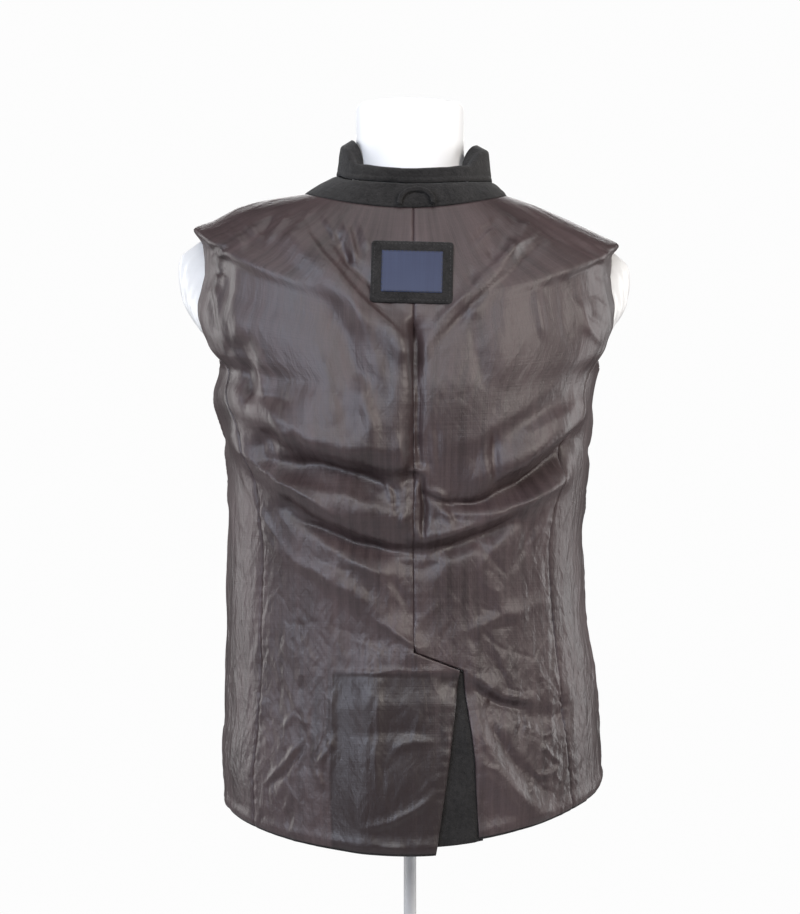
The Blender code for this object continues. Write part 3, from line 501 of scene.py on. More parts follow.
def body_lift(degrees, run, creased=1.0):
    """How far the worn cloth stands off the plain rings."""
    point = plain_ring_point(degrees, run)
    around = degrees * WAY_ROUND
    cosine = np.cos(np.radians(degrees))
    behind, before = smooth_step((cosine - 0.2) / 0.35), smooth_step((-cosine - 0.2) / 0.35)
    wide, down = around / CREASE_WANDER_STEP, run / CREASE_WANDER_STEP
    x = point[..., 0] + CREASE_WANDER * cloth_noise(wide, down, 31)
    z = point[..., 2] + CREASE_WANDER * cloth_noise(wide, down, 32)
    height = behind * fold_height(point[..., 0], point[..., 2], BACK_FOLDS)
    height += before * fold_height(point[..., 0], point[..., 2], FRONT_FOLDS)
    height += creased * behind * crease_height(x, z, BACK_CREASES)
    height += creased * before * crease_height(x, z, FRONT_CREASES)
    side_x, side_z = (np.abs(degrees) - 90) * SIDE_WAY_ROUND, z + SIDE_SHIFT * np.sign(degrees)
    height += creased * (1 - behind) * (1 - before) * crease_height(side_x, side_z, SIDE_CREASES)
    height += creased * crinkle_height(around, run) * crinkle_share(around, run)
    return height * smooth_step((run - 6.0) / 40.0)


# The panels' edges and seams. Each panel is a wall of satin over wool, cut to its seam lines, and the
# seams pull the cloth in a little and pucker it beside the stitches.
VENT_TOP_RUN = 466.0
VENT_SLOPE_RUN = 448.0
FLAP_LIFT = 3.9
FRONT_LAP = 36.0
FRONT_TUCK = 4.2
FACING_DEG = 18.0
UNDERARM_RUN, UNDERARM_DEPTH = 186.0, 11.0
BACK_EDGE = np.array([
    # run, degrees
    (0, 90), (94, 90), (104, 84), (121, 76), (143, 71), (160, 68), (175, 66.5), (190, 65),
    (205, 62), (233, 57.5), (270, 53), (300, 50.5), (343, 49), (463, 49), (648, 52),
], float)
FRONT_EDGE = np.array([
    # run, degrees
    (0, 90), (94, 90), (104, 96), (121, 104), (143, 109), (160, 112), (175, 114), (190, 116),
    (205, 118), (283, 121), (648, 123),
], float)
VENT_EDGE_COLUMNS = ("run", "flap", "lining")
VENT_EDGES = np.array([
    # run, and x of the two edges
    (0, 3, 3), (440, 3, 3), (448, 3, 4.5), (466, 49, 53), (560, 38, 64), (648, 25, 69),
], float)
SEAM_DIP, SEAM_WIDTH = 0.8, 2.0
PUCKER, PUCKER_REACH, PUCKER_STEP = 0.7, 9.0, 7.0
HEM_WOOL = 2.2  # the wool's turned edge shows for this much below the satin
HEM_ROLL, HEM_ROLL_PLACE, HEM_ROLL_WIDTH = 1.6, 9, 6.5
HEM_STEP_IN = 0.8


def back_edge(run):
    return np.interp(run, BACK_EDGE[:, 0], BACK_EDGE[:, 1])


def front_edge(run):
    return np.interp(run, FRONT_EDGE[:, 0], FRONT_EDGE[:, 1])


def degrees_at(x, run):
    """The angle on the back at which the ring is at a place across it."""
    half = np.where(np.asarray(x) > 0, ring_value("right", run), ring_value("left", run))
    degrees = np.degrees(np.arcsin(np.clip(x / half, -1, 1)))
    for _ in range(3):
        swell = 1 + RING_CORNER * np.sin(2 * np.radians(degrees)) ** 2
        degrees = np.degrees(np.arcsin(np.clip(x / (half * swell), -1, 1)))
    return degrees


def vent_degrees(column, run):
    """The angle of the vent's flap edge or lining edge."""
    index = VENT_EDGE_COLUMNS.index(column)
    return degrees_at(np.interp(run, VENT_EDGES[:, 0], VENT_EDGES[:, index]), run)


def flap_lift(degrees, run):
    """The left half is lifted over the right one below the vent's top."""
    below = smooth_step((run - (VENT_SLOPE_RUN - 14)) / 22.0)
    across = smooth_step((degrees + 22.0) / 14.0)
    return FLAP_LIFT * below * across


LAP_DEG = math.degrees(math.asin(FRONT_LAP / float(ring_value("right", 300.0))))


def front_tuck(degrees, run):
    """The left front goes under the right one near the centre line."""
    return -FRONT_TUCK * smooth_step((LAP_DEG + 12.0 - (degrees + 180.0)) / 9.0)


def seam_lift(from_edge, run, seed):
    """A seam's dip, and the cloth's puckers beside it."""
    beside = np.exp(-((from_edge / PUCKER_REACH) ** 2))
    waves = cloth_noise(run / PUCKER_STEP, from_edge / 26 + seed, seed)
    return -SEAM_DIP * np.exp(-((from_edge / SEAM_WIDTH) ** 2)) + PUCKER * beside * waves


def linked(name, data):
    """An object of its own for some data, in the scene."""
    made = bpy.data.objects.new(name, data)
    bpy.context.scene.collection.objects.link(made)
    return made


def wall_mesh(name, outer, inner, flat, materials, inner_slot=0, hem_rows=0):
    """A closed wall between two grids of points, with the flat cut as its UV map.

    Its inside and its last rows, at the hem, may be of another cloth.
    """
    rows, columns = outer.shape[:2]
    count = rows * columns
    index = np.arange(count).reshape(rows, columns)
    left, right = index[:, :-1], index[:, 1:]
    a, b, c, d = left[:-1], right[:-1], right[1:], left[1:]
    front = np.stack([a, d, c, b], -1)
    behind = np.stack([a, b, c, d], -1) + count
    slots = [np.where(np.arange(rows - 1) >= rows - 1 - hem_rows, inner_slot, 0).repeat(a.shape[1])]
    slots.append(np.full(behind[..., 0].size, inner_slot))
    parts = [front.reshape(-1, 4), behind.reshape(-1, 4)]
    top = np.stack([left[0], right[0], right[0] + count, left[0] + count], -1)
    foot = np.stack([right[-1], left[-1], left[-1] + count, right[-1] + count], -1)
    parts += [top, foot]
    slots += [np.zeros(len(top)), np.full(len(foot), inner_slot)]
    for side, turned in ((index[:, 0], True), (index[:, -1], False)):
        rim = np.stack([side[:-1], side[1:], side[1:] + count, side[:-1] + count], -1)
        parts.append(rim[:, ::-1] if turned else rim)
        slots.append(np.zeros(len(rim)))
    faces = np.concatenate(parts)
    points = np.concatenate([outer.reshape(-1, 3), inner.reshape(-1, 3)]) * MM
    mesh = bpy.data.meshes.new(name)
    mesh.vertices.add(len(points))
    mesh.vertices.foreach_set("co", points.ravel())
    mesh.loops.add(faces.size)
    mesh.loops.foreach_set("vertex_index", faces.ravel())
    mesh.polygons.add(len(faces))
    mesh.polygons.foreach_set("loop_start", np.arange(0, faces.size, 4))
    mesh.update(calc_edges=True)
    for material in materials:
        mesh.materials.append(material)
    mesh.polygons.foreach_set("material_index", np.concatenate(slots).astype(np.int32))
    unrolled = np.concatenate([flat.reshape(-1, 2), flat.reshape(-1, 2)]) * MM
    layer = mesh.uv_layers.new(name="Cut")
    layer.data.foreach_set("uv", unrolled[faces.ravel()].ravel())
    mesh.shade_smooth()
    return linked(name, mesh)


def stand_for(made, node):
    """A piece is shown instead of its solid and rides with it."""
    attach(made, "root")
    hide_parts(node)


def finish_cloth(made, node):
    """A cloth piece stands for its solid."""
    stand_for(made, node)


def panel_rows(first, bottom, step):
    """Even rows down a panel, then three close ones for the hem's wool edge."""
    runs = np.linspace(first, bottom - HEM_WOOL, int((bottom - first) / step) + 1)
    return np.concatenate([runs, [bottom - HEM_WOOL + 0.3, bottom - 0.7, bottom]])


def cut_shell(name, degrees, runs, lifted, materials, inner_slot=0, hem_rows=0):
    """A wall of cloth at some height over the plain rings. Its cut is its place on the unrolled body."""
    away = outward(degrees, runs)
    outer = plain_ring_point(degrees, runs) + away * lifted[..., None]
    flat = np.stack([degrees * WAY_ROUND, -runs], -1)
    return wall_mesh(name, outer, outer - away * CLOTH_WALL, flat, materials, inner_slot, hem_rows)


PANEL_TOP = 0.6  # the panels begin this far under the neck's seam
TOP_ROWS = 8


def panel_shell(name, first_edge, last_edge, rows, columns, lift=None, top=None):
    """One panel of the coat between two sewn edges, satin outside and wool inside and at the hem."""
    runs = rows[:, None] + np.zeros((1, columns + 1))
    if top is not None:
        edge = top(np.linspace(0, 1, columns + 1))
        above = np.linspace(0, 1, TOP_ROWS + 1)[:-1, None]
        runs = np.concatenate([edge + (runs[0] - edge) * above, runs])
    share = np.linspace(0, 1, columns + 1)[None, :]
    first, last = first_edge(runs), last_edge(runs)
    degrees = first + (last - first) * share
    width = (last - first) * WAY_ROUND
    lifted = body_lift(degrees, runs)
    if lift is not None:
        lifted += lift(degrees, runs)
    for from_edge, seed in ((share * width, 51), ((1 - share) * width, 52)):
        lifted += seam_lift(from_edge, runs, seed)
    to_hem = rows[-1] - runs
    lifted += HEM_ROLL * np.exp(-(((to_hem - HEM_ROLL_PLACE) / HEM_ROLL_WIDTH) ** 2))
    lifted -= HEM_STEP_IN * (to_hem < HEM_WOOL - 0.1)
    return cut_shell(name, degrees, runs, lifted, COAT_CLOTHS, inner_slot=1, hem_rows=3)


# Shader groups that several cloths share: the satin's threads, streaks, creases and facets, and the wool's
# nap. Each puts out a tone, which a cloth turns into its colours and roughness, and a height for its relief.
def new_group(name, inputs, outputs):
    """A shader node group with named inputs, each with its value, and named outputs."""
    group = bpy.data.node_groups.new(name, "ShaderNodeTree")
    for socket, kind, value in inputs:
        made = group.interface.new_socket(socket, in_out="INPUT", socket_type=kind)
        made.default_value = value
    for socket, kind in outputs:
        group.interface.new_socket(socket, in_out="OUTPUT", socket_type=kind)
    return group, group.nodes.new("NodeGroupInput"), group.nodes.new("NodeGroupOutput")


def add_node(tree, kind, inputs, **settings):
    """A node's outputs. Each of its inputs is given as a socket to link or as a value."""
    made = tree.nodes.new("ShaderNode" + kind)
    for setting, value in settings.items():
        setattr(made, setting, value)
    for socket, value in inputs.items():
        if isinstance(value, bpy.types.NodeSocket):
            tree.links.new(value, made.inputs[socket])
        else:
            made.inputs[socket].default_value = value
    return made.outputs


def node_math(tree, operation, *values, **settings):
    """A Math node whose inputs are sockets or numbers."""
    return add_node(tree, "Math", dict(enumerate(values)), operation=operation, **settings)[0]


def scaled_noise(tree, coordinates, stretch, scale, detail=3.0, roughness=0.5):
    """Noise on coordinates stretched by three factors."""
    place = add_node(tree, "Mapping", {"Vector": coordinates, "Scale": stretch})["Vector"]
    return add_node(tree, "TexNoise", {
        "Vector": place, "Scale": scale, "Detail": detail, "Roughness": roughness,
    })["Fac"]


def mix_colours(tree, share, first, second):
    """A colour between two."""
    return add_node(tree, "Mix", {0: share, 6: (*first, 1.0), 7: (*second, 1.0)}, data_type="RGBA")[2]


def map_range(tree, value, low, high, from_low=0.0, from_high=1.0):
    """A value's own range turned into another, and kept inside it."""
    ends = {"From Min": from_low, "From Max": from_high, "To Min": low, "To Max": high}
    return add_node(tree, "MapRange", {"Value": value, **ends})["Result"]


def add_relief(tree, height, strength, distance):
    """A bump from a height, for the material's shader."""
    bump = add_node(tree, "Bump", {"Height": height, "Strength": strength, "Distance": distance})
    tree.links.new(bump["Normal"], tree.nodes["Principled BSDF"].inputs["Normal"])


def leaning(tree, coordinates, stretch, lean):
    """Coordinates turned by some degrees, then stretched by three factors."""
    turned = add_node(tree, "Mapping", {"Vector": coordinates, "Rotation": (0, 0, math.radians(lean))})
    return add_node(tree, "Mapping", {"Vector": turned["Vector"], "Scale": stretch})["Vector"]


def creased_noise(tree, coordinates, stretch, lean, distortion):
    """Sharp valleys where a stretched and bent noise crosses its middle: 0 in a crease, more beside it."""
    place = leaning(tree, coordinates, stretch, lean)
    noise = add_node(tree, "TexNoise", {
        "Vector": place, "Scale": 1.0, "Detail": 1.5, "Distortion": distortion,
    })
    return node_math(tree, "ABSOLUTE", node_math(tree, "SUBTRACT", noise["Fac"], 0.5))


def broken_facets(tree, coordinates, stretch, lean, bend):
    """Small facets that meet in sharp ridges, as pressed satin breaks: 0 in the middle of each."""
    place = leaning(tree, coordinates, stretch, lean)
    wander = add_node(tree, "TexNoise", {"Vector": place, "Scale": 0.7})["Color"]
    bent = add_node(
        tree, "VectorMath", {0: wander, 1: (bend, bend, bend), 2: place}, operation="MULTIPLY_ADD",
    )
    return add_node(tree, "TexVoronoi", {"Vector": bent["Vector"], "Scale": 1.0})["Distance"]


def weighted_sum(tree, total, layers):
    """A socket plus several others, each times its weight."""
    for layer, weight in layers:
        total = node_math(tree, "MULTIPLY_ADD", layer, weight, total)
    return total


STREAKS, SATIN_TONE = 0.7, 0.416
# on the vent's flap the satin's tone is lowered by a set share, as painted shade; the calm factor only lowers
# its crinkle
FLAP_PAINTED_SHADE, FLAP_CALM = -0.17, -0.5
FLAP_SIDE_RISE, FLAP_TOP_RISE = 300.0, 160.0  # how quickly the flap's mask rises at its edges, per metre


def make_satin_group():
    """The satin on its own cut: streaks along the warp and fine threads as tone, with painted shade on the
    vent's flap, and fine crinkles as height.
    """
    group, enter, leave = new_group(
        "satin_threads",
        [("Cut", "NodeSocketVector", (0, 0, 0)), ("Crinkle", "NodeSocketFloat", 1.0)],
        [("Tone", "NodeSocketFloat"), ("Height", "NodeSocketFloat")],
    )
    cut = enter.outputs["Cut"]
    warp = scaled_noise(group, cut, (900, 14, 1), 1.0, 2.0)
    weft = scaled_noise(group, cut, (16, 700, 1), 1.0, 2.0)
    streaks = scaled_noise(group, cut, (150, 7, 1), 1.0, 3.0)
    patches = scaled_noise(group, cut, (14, 8, 1), 1.0, 3.0)
    threads = weighted_sum(group, node_math(group, "MULTIPLY", warp, 0.6), [(weft, 0.4)])
    marks = node_math(group, "ADD", threads, streaks)
    tone = node_math(group, "MULTIPLY", weighted_sum(group, patches, [(marks, STREAKS)]), SATIN_TONE)
    # over the vent's wool the satin lies flat, so its crinkle is calmed, and its colour is darkened there as
    # painted shade
    parts = add_node(group, "SeparateXYZ", {"Vector": cut})
    from_middle = node_math(group, "ABSOLUTE", node_math(group, "SUBTRACT", parts["X"], FLAP_MIDDLE * MM))
    inside_edge = node_math(group, "SUBTRACT", FLAP_HALF_WIDTH * MM, from_middle)
    under_top = node_math(group, "SUBTRACT", -VENT_TOP_RUN * MM, parts["Y"])
    across_flap = node_math(group, "MULTIPLY", inside_edge, FLAP_SIDE_RISE, use_clamp=True)
    down_flap = node_math(group, "MULTIPLY", under_top, FLAP_TOP_RISE, use_clamp=True)
    on_flap = node_math(group, "MULTIPLY", across_flap, down_flap)
    calm = node_math(group, "MULTIPLY_ADD", on_flap, FLAP_CALM, 1.0)
    group.links.new(weighted_sum(group, tone, [(on_flap, FLAP_PAINTED_SHADE)]), leave.inputs["Tone"])
    lower = map_range(group, parts["Y"], 0.14, 0.66, -0.06, -0.46)
    creases = creased_noise(group, cut, (48, 15, 1), 6, 0.7)
    crossing = creased_noise(group, cut, (60, 20, 1), -30, 1.1)
    slanting = creased_noise(group, cut, (76, 26, 1), 34, 1.1)
    facets = broken_facets(group, cut, (70, 30, 1), 14, 1.8)
    small_facets = broken_facets(group, cut, (150, 70, 1), -24, 1.4)
    fine_creases = creased_noise(group, cut, (130, 40, 1), -12, 1.2)
    height = weighted_sum(
        group, creases, [(crossing, 0.4), (slanting, 0.3), (facets, 0.42), (small_facets, 0.15)],
    )
    for factor in (enter.outputs["Crinkle"], lower, calm):
        height = node_math(group, "MULTIPLY", height, factor)
    height = weighted_sum(group, height, [(fine_creases, 0.10), (threads, 0.09)])
    group.links.new(height, leave.inputs["Height"])
    return group


WOOL_TONE = 0.34


def make_wool_group():
    """The pressed nap of a wool cloth: short felted fibres and faint uneven dye."""
    group, enter, leave = new_group(
        "wool_nap",
        [("Place", "NodeSocketVector", (0, 0, 0))],
        [("Tone", "NodeSocketFloat"), ("Height", "NodeSocketFloat")],
    )
    place = enter.outputs["Place"]
    fibres = scaled_noise(group, place, (1, 1, 1), 620.0, 4.0, 0.65)
    clumps = scaled_noise(group, place, (1, 1, 1), 210.0, 3.0, 0.6)
    dye = scaled_noise(group, place, (1, 1, 1), 24.0, 2.0)
    nap = node_math(group, "ADD", fibres, clumps)
    tone = node_math(group, "MULTIPLY", node_math(group, "ADD", nap, dye), WOOL_TONE)
    group.links.new(tone, leave.inputs["Tone"])
    group.links.new(nap, leave.inputs["Height"])
    return group


SATIN_THREADS = make_satin_group()
WOOL_NAP = make_wool_group()
TONE_LOW, TONE_HIGH = 0.36, 0.66  # a group's tone goes from the dark colour to the light one between these


def new_material(name):
    """A material, its nodes and its shader."""
    material = bpy.data.materials.new(name)
    material.use_nodes = True
    return material, material.node_tree, material.node_tree.nodes["Principled BSDF"]


def cloth_material(
    name, group, coordinates, dark, light, roughness, bump, group_values=None, **shader_values
):
    """A cloth from a group's tone and height, between two colours and two roughness values."""
    material, tree, shader = new_material(name)
    source = tree.nodes.new("ShaderNodeUVMap" if coordinates == "UV" else "ShaderNodeTexCoord")
    if coordinates == "UV":
        source.uv_map = "Cut"
    placed = tree.nodes.new("ShaderNodeGroup")
    placed.node_tree = group
    tree.links.new(source.outputs[coordinates], placed.inputs[0])
    for socket, value in (group_values or {}).items():
        placed.inputs[socket].default_value = value
    share = map_range(tree, placed.outputs["Tone"], 0.0, 1.0, TONE_LOW, TONE_HIGH)
    tree.links.new(mix_colours(tree, share, dark, light), shader.inputs["Base Color"])
    tree.links.new(map_range(tree, share, *roughness), shader.inputs["Roughness"])
    add_relief(tree, placed.outputs["Height"], *bump)
    for socket, value in shader_values.items():
        shader.inputs[socket.replace("_", " ")].default_value = value
    return material


SATIN = cloth_material(
    "taupe_satin", SATIN_THREADS, "UV", (0.024, 0.0148, 0.0150), (0.078, 0.0510, 0.0520), (0.40, 0.52),
    (1.0, 0.0036), Specular_IOR_Level=0.62,
)
WOOL = cloth_material(
    "charcoal_wool", WOOL_NAP, "Object", (0.005, 0.0045, 0.0045), (0.032, 0.030, 0.0295), (0.86, 0.96),
    (1.0, 0.0011), Specular_IOR_Level=0.2, Sheen_Weight=0.08, Sheen_Roughness=0.6,
)
COAT_CLOTHS = (SATIN, WOOL)


# The back, in two panels that meet at the centre seam. Below the waist the left one ends in the vent's flap,
# which lies over the right one, and each is bagged out over the wool at its hem.
BACK_STEP, BACK_LEFT_COLUMNS, BACK_RIGHT_COLUMNS = 2.0, 112, 96

back_left = panel_shell(
    "coat_back_left", lambda run: -back_edge(run), lambda run: vent_degrees("flap", run),
    panel_rows(PANEL_TOP, BACK_LENGTH, BACK_STEP), BACK_LEFT_COLUMNS, flap_lift,
)
finish_cloth(back_left, "back_left")
back_right = panel_shell(
    "coat_back_right", lambda run: vent_degrees("lining", run), back_edge,
    panel_rows(PANEL_TOP, RIGHT_LENGTH, BACK_STEP), BACK_RIGHT_COLUMNS,
)
finish_cloth(back_right, "back_right")


# The vent's underlap: the wool of the right half runs on under the flap and shows in the open vent.
UNDERLAP_ROWS, UNDERLAP_COLUMNS = 60, 31
UNDERLAP_EDGE_X, UNDERLAP_CREASED, UNDERLAP_HIDE = -14.0, 0.25, 3.0


def underlap_shell():
    rows = np.linspace(VENT_TOP_RUN + 2.0, RIGHT_LENGTH + 2.0, UNDERLAP_ROWS)
    runs = rows[:, None] + np.zeros((1, UNDERLAP_COLUMNS))
    share = np.linspace(0, 1, UNDERLAP_COLUMNS)[None, :]
    first = degrees_at(np.full(runs.shape, UNDERLAP_EDGE_X), runs)
    last = vent_degrees("lining", runs) + 1.2
    degrees = first + (last - first) * share
    tucked = smooth_step((degrees - last + 2.4) / 1.0)
    hidden = smooth_step((vent_degrees("flap", runs) - degrees - 1.0) / 2.5)
    lifted = body_lift(degrees, runs, UNDERLAP_CREASED)
    lifted -= (CLOTH_WALL + 0.4) * tucked + UNDERLAP_HIDE * hidden
    return cut_shell("vent_wool", degrees, runs, lifted, (WOOL,))


vent_wool = underlap_shell()
finish_cloth(vent_wool, "vent_underlap")


# The sides, each one panel from the hem up to the armhole's lowest point.
def underarm_top(share):
    return UNDERARM_RUN - UNDERARM_DEPTH * ((share - 0.5) * 2) ** 2


SIDE_FIRST_RUN, SIDE_STEP, SIDE_COLUMNS = 190.0, 2.4, 44
side_right = panel_shell(
    "coat_side_right", back_edge, front_edge,
    panel_rows(SIDE_FIRST_RUN, RIGHT_LENGTH, SIDE_STEP), SIDE_COLUMNS, top=underarm_top,
)
finish_cloth(side_right, "side_right")
side_left = panel_shell(
    "coat_side_left", lambda run: -front_edge(run), lambda run: -back_edge(run),
    panel_rows(SIDE_FIRST_RUN, BACK_LENGTH, SIDE_STEP), SIDE_COLUMNS, top=underarm_top,
)
finish_cloth(side_left, "side_left")


# The fronts, satin out as the back is, and their facings of wool, which are sewn to them and cross over
# each other at the centre, the right one on top.
FRONT_STEP, FRONT_COLUMNS = 2.6, 64
FACING_STEP, FACING_COLUMNS, FACING_CREASED = 5.0, 22, 0.3

front_right = panel_shell(
    "coat_front_right", front_edge, lambda run: np.full(run.shape, 180.0 - FACING_DEG),
    panel_rows(PANEL_TOP, RIGHT_LENGTH, FRONT_STEP), FRONT_COLUMNS,
)
finish_cloth(front_right, "front_right")
front_left = panel_shell(
    "coat_front_left", lambda run: np.full(run.shape, -180.0 + FACING_DEG), lambda run: -front_edge(run),
    panel_rows(PANEL_TOP, BACK_LENGTH, FRONT_STEP), FRONT_COLUMNS, front_tuck,
)
finish_cloth(front_left, "front_left")


def facing_shell(name, first, last, bottom, lift=None):
    """A facing is wool all over, so it is calmer than the satin."""
    rows = panel_rows(PANEL_TOP, bottom, FACING_STEP)
    runs = rows[:, None] + np.zeros((1, FACING_COLUMNS + 1))
    degrees = first + (last - first) * np.linspace(0, 1, FACING_COLUMNS + 1)[None, :] + 0 * runs
    lifted = body_lift(degrees, runs, FACING_CREASED)
    if lift is not None:
        lifted += lift(degrees, runs)
    return cut_shell(name, degrees, runs, lifted, (WOOL,))


facing_right = facing_shell("coat_facing_right", 180.0 - FACING_DEG, 180.0 + LAP_DEG, RIGHT_LENGTH)
finish_cloth(facing_right, "facing_right")
facing_left = facing_shell("coat_facing_left", -180.0 - LAP_DEG, -180.0 + FACING_DEG, BACK_LENGTH, front_tuck)
finish_cloth(facing_left, "facing_left")


# The collar: a wool stand sewn into the neck seam, and a fall sewn to it, turned up and rolled in at the top.
WOOL_WALL = 2.6
STAND_HEIGHT_BACK, STAND_BULGE = 27.0, 2.0
STAND_TOP_SHARE = 0.985
COLLAR_END_DEG = 174.0
STAND_WAY_ROUND, FALL_WAY_ROUND, STAND_CUT = 1.75, 1.5, 28
COLLAR_SEAM = np.array([
    # degrees, x, y, z
    (-180, 0, 80, 1371), (-135, -60, 56, 1394), (-90, -77, 4, 1424), (-45, -59, -57, 1415),
    (0, 2, -77, 1409), (45, 63, -57, 1413), (90, 86, 4, 1417), (135, 64, 56, 1392),
    (180, 0, 80, 1371),
], float)
FALL_LENGTH, FALL_ROLL_RADIUS = 44.0, 4.6
FALL_STEPS = 139
FALL_PROFILE = np.array([
    # degrees, straight length, turn, lean
    (-180, 38, 10, 10), (-120, 34, 20, 9), (-85, 28, 50, 7), (-66, 27, 60, 8),
    (-45, 13, 165, 10), (0, 12, 172, 12), (45, 13, 165, 10), (66, 28, 62, 4),
    (85, 30, 55, 6), (120, 36, 20, 12), (180, 38, 10, 10),
], float)
FALL_LINES = (
    # height, distance from the fall's seam, width
    (0.5, 2.4, 1.6), (-0.8, 0.0, 1.1), (-0.45, 6.2, 0.8),
)


def smooth_loop(degrees, places, values):
    """A smooth curve through a table that goes once round, from -180 to 180 degrees."""
    places = np.concatenate([places[-3:-1] - 360, places, places[1:3] + 360])
    values = np.concatenate([values[-3:-1], values, values[1:3]])
    index = np.clip(np.searchsorted(places, degrees, side="right") - 1, 1, len(places) - 3)
    step = places[index + 1] - places[index]
    t = (degrees - places[index]) / step
    slope_a = (values[index + 1] - values[index - 1]) / (places[index + 1] - places[index - 1]) * step
    slope_b = (values[index + 2] - values[index]) / (places[index + 2] - places[index]) * step
    return (
        values[index] * (1 + 2 * t) * (1 - t) ** 2 + slope_a * t * (1 - t) ** 2
        + values[index + 1] * t * t * (3 - 2 * t) + slope_b * t * t * (t - 1)
    )


def collar_seam_point(degrees):
    return np.stack([smooth_loop(degrees, COLLAR_SEAM[:, 0], COLLAR_SEAM[:, k]) for k in (1, 2, 3)], -1)


def stand_point(degrees, share):
    """The stand goes from the neck seam at share 0 to the fall's seam at share 1."""
    foot, head = plain_ring_point(degrees, 0.0 * degrees), collar_seam_point(degrees)
    bulge = np.stack([np.sin(np.radians(degrees)), -np.cos(np.radians(degrees)), 0 * degrees], -1)
    share = np.asarray(share)[..., None]
    return foot + (head - foot) * share + bulge * STAND_BULGE * np.sin(np.pi * share)


def grid_normals(grid):
    normal = np.cross(np.gradient(grid, axis=0), np.gradient(grid, axis=1))
    return normal / np.linalg.norm(normal, axis=-1, keepdims=True)


def sheet_wall(name, grid, flat, thickness, materials, bumps=None):
    """A wall of even thickness behind a grid of points, which bumps may lift."""
    normals = grid_normals(grid)
    outer = grid if bumps is None else grid + normals * bumps[..., None]
    return wall_mesh(name, outer, grid - normals * thickness, flat, materials)


COLLAR_COLUMNS, STAND_ROWS, FALL_ROWS = 340, 16, 44


def make_stand():
    around = np.linspace(-COLLAR_END_DEG, COLLAR_END_DEG, COLLAR_COLUMNS)
    degrees, share = np.meshgrid(around, np.linspace(STAND_TOP_SHARE, 0.0, STAND_ROWS))
    grid = stand_point(degrees, share)
    bumps = 0.5 * cloth_noise(degrees / 9, share * 3, 61) - 0.9 * np.exp(-(((1 - share) / 0.08) ** 2))
    flat = np.stack([degrees * STAND_WAY_ROUND, share * STAND_CUT], -1)
    return sheet_wall("collar_stand_wool", grid, flat, WOOL_WALL, (WOOL,), bumps)


def fall_line(degrees, lengths):
    """The fall's profile at one place round the neck: up, then rolled over towards the neck."""
    straight, turn, lean = (
        smooth_column(degrees, FALL_PROFILE[:, 0], FALL_PROFILE[:, column]) for column in (1, 2, 3)
    )
    fine = np.linspace(0, FALL_LENGTH, FALL_STEPS)
    rolled = np.clip((fine - straight) / FALL_ROLL_RADIUS, 0, math.radians(turn))
    angle = math.radians(lean) + rolled
    step = fine[1] - fine[0]
    inwards = np.concatenate([[0], np.cumsum(np.sin(angle[:-1]) * step)])
    upwards = np.concatenate([[0], np.cumsum(np.cos(angle[:-1]) * step)])
    return np.interp(lengths, fine, inwards), np.interp(lengths, fine, upwards)


def make_fall():
    around = np.linspace(-COLLAR_END_DEG, COLLAR_END_DEG, COLLAR_COLUMNS)
    lengths = np.linspace(FALL_LENGTH, 0.0, FALL_ROWS)
    grid = np.empty((FALL_ROWS, COLLAR_COLUMNS, 3))
    for column, degrees in enumerate(around):
        seam = collar_seam_point(np.array(degrees))
        inwards, upwards = fall_line(degrees, lengths)
        away = np.array([seam[0], seam[1], 0.0])
        away /= np.linalg.norm(away)
        grid[:, column] = seam - away * inwards[:, None] + np.array([0, 0, 1.0]) * upwards[:, None]
    degrees, length = np.meshgrid(around, lengths)
    bumps = 0.5 * cloth_noise(degrees / 10, length / 12, 62)
    for height, place, width in FALL_LINES:
        bumps += height * np.exp(-(((length - place) / width) ** 2))
    flat = np.stack([degrees * FALL_WAY_ROUND, length], -1)
    return sheet_wall("collar_fall_wool", grid, flat, WOOL_WALL, (WOOL,), bumps)


collar_stand = make_stand()
finish_cloth(
    collar_stand, "collar_stand",
)
collar_fall = make_fall()
finish_cloth(
    collar_fall, "collar_fall",
)


# The hanger loop: a strip of the wool, folded lengthwise and stitched, sewn into the neck seam at both ends.
LOOP_LEFT_X, LOOP_RIGHT_X, LOOP_RISE = -11.0, 23.0, 16.5
LOOP_HALF_WIDTH, LOOP_HALF_DEPTH, LOOP_GROOVE = 2.3, 1.3, 0.25
LOOP_STEPS, LOOP_SIDES = 49, 20


def make_loop():
    turns = np.linspace(math.pi, 0, LOOP_STEPS)
    x = (LOOP_LEFT_X + LOOP_RIGHT_X) / 2 + (LOOP_RIGHT_X - LOOP_LEFT_X) / 2 * np.cos(turns)
    rise = 3.0 + LOOP_RISE * np.sin(turns).clip(0) ** 0.8
    on_stand = stand_point(degrees_at(x, 0.0 * x), rise / STAND_HEIGHT_BACK)
    path = np.stack([x, on_stand[:, 1] - 2.9 - 1.6 * np.sin(turns), on_stand[:, 2]], 1)
    along = np.gradient(path, axis=0)
    along /= np.linalg.norm(along, axis=1, keepdims=True)
    forth = np.cross(along, np.array([0, 1.0, 0]))
    forth /= np.linalg.norm(forth, axis=1, keepdims=True)
    square = np.cross(along, forth)
    ring = np.linspace(0, 2 * math.pi, LOOP_SIDES, endpoint=False)
    grooved = np.sin(ring) * (1 - LOOP_GROOVE * np.exp(-(np.cos(ring) / 0.25) ** 2))
    width, depth = LOOP_HALF_WIDTH * np.cos(ring)[:, None], LOOP_HALF_DEPTH * grooved[:, None]
    points = path[:, None] + width * forth[:, None] + depth * square[:, None]
    rows, columns = points.shape[:2]
    index = np.arange(rows * columns).reshape(rows, columns)
    right = np.roll(index, -1, 1)
    faces = np.stack([index[:-1], right[:-1], right[1:], index[1:]], -1).reshape(-1, 4).tolist()
    faces += [index[0, ::-1].tolist(), index[-1].tolist()]
    mesh = bpy.data.meshes.new("loop_wool")
    mesh.from_pydata((points.reshape(-1, 3) * MM).tolist(), [], faces)
    mesh.materials.append(WOOL)
    mesh.shade_smooth()
    return linked("loop_wool", mesh)


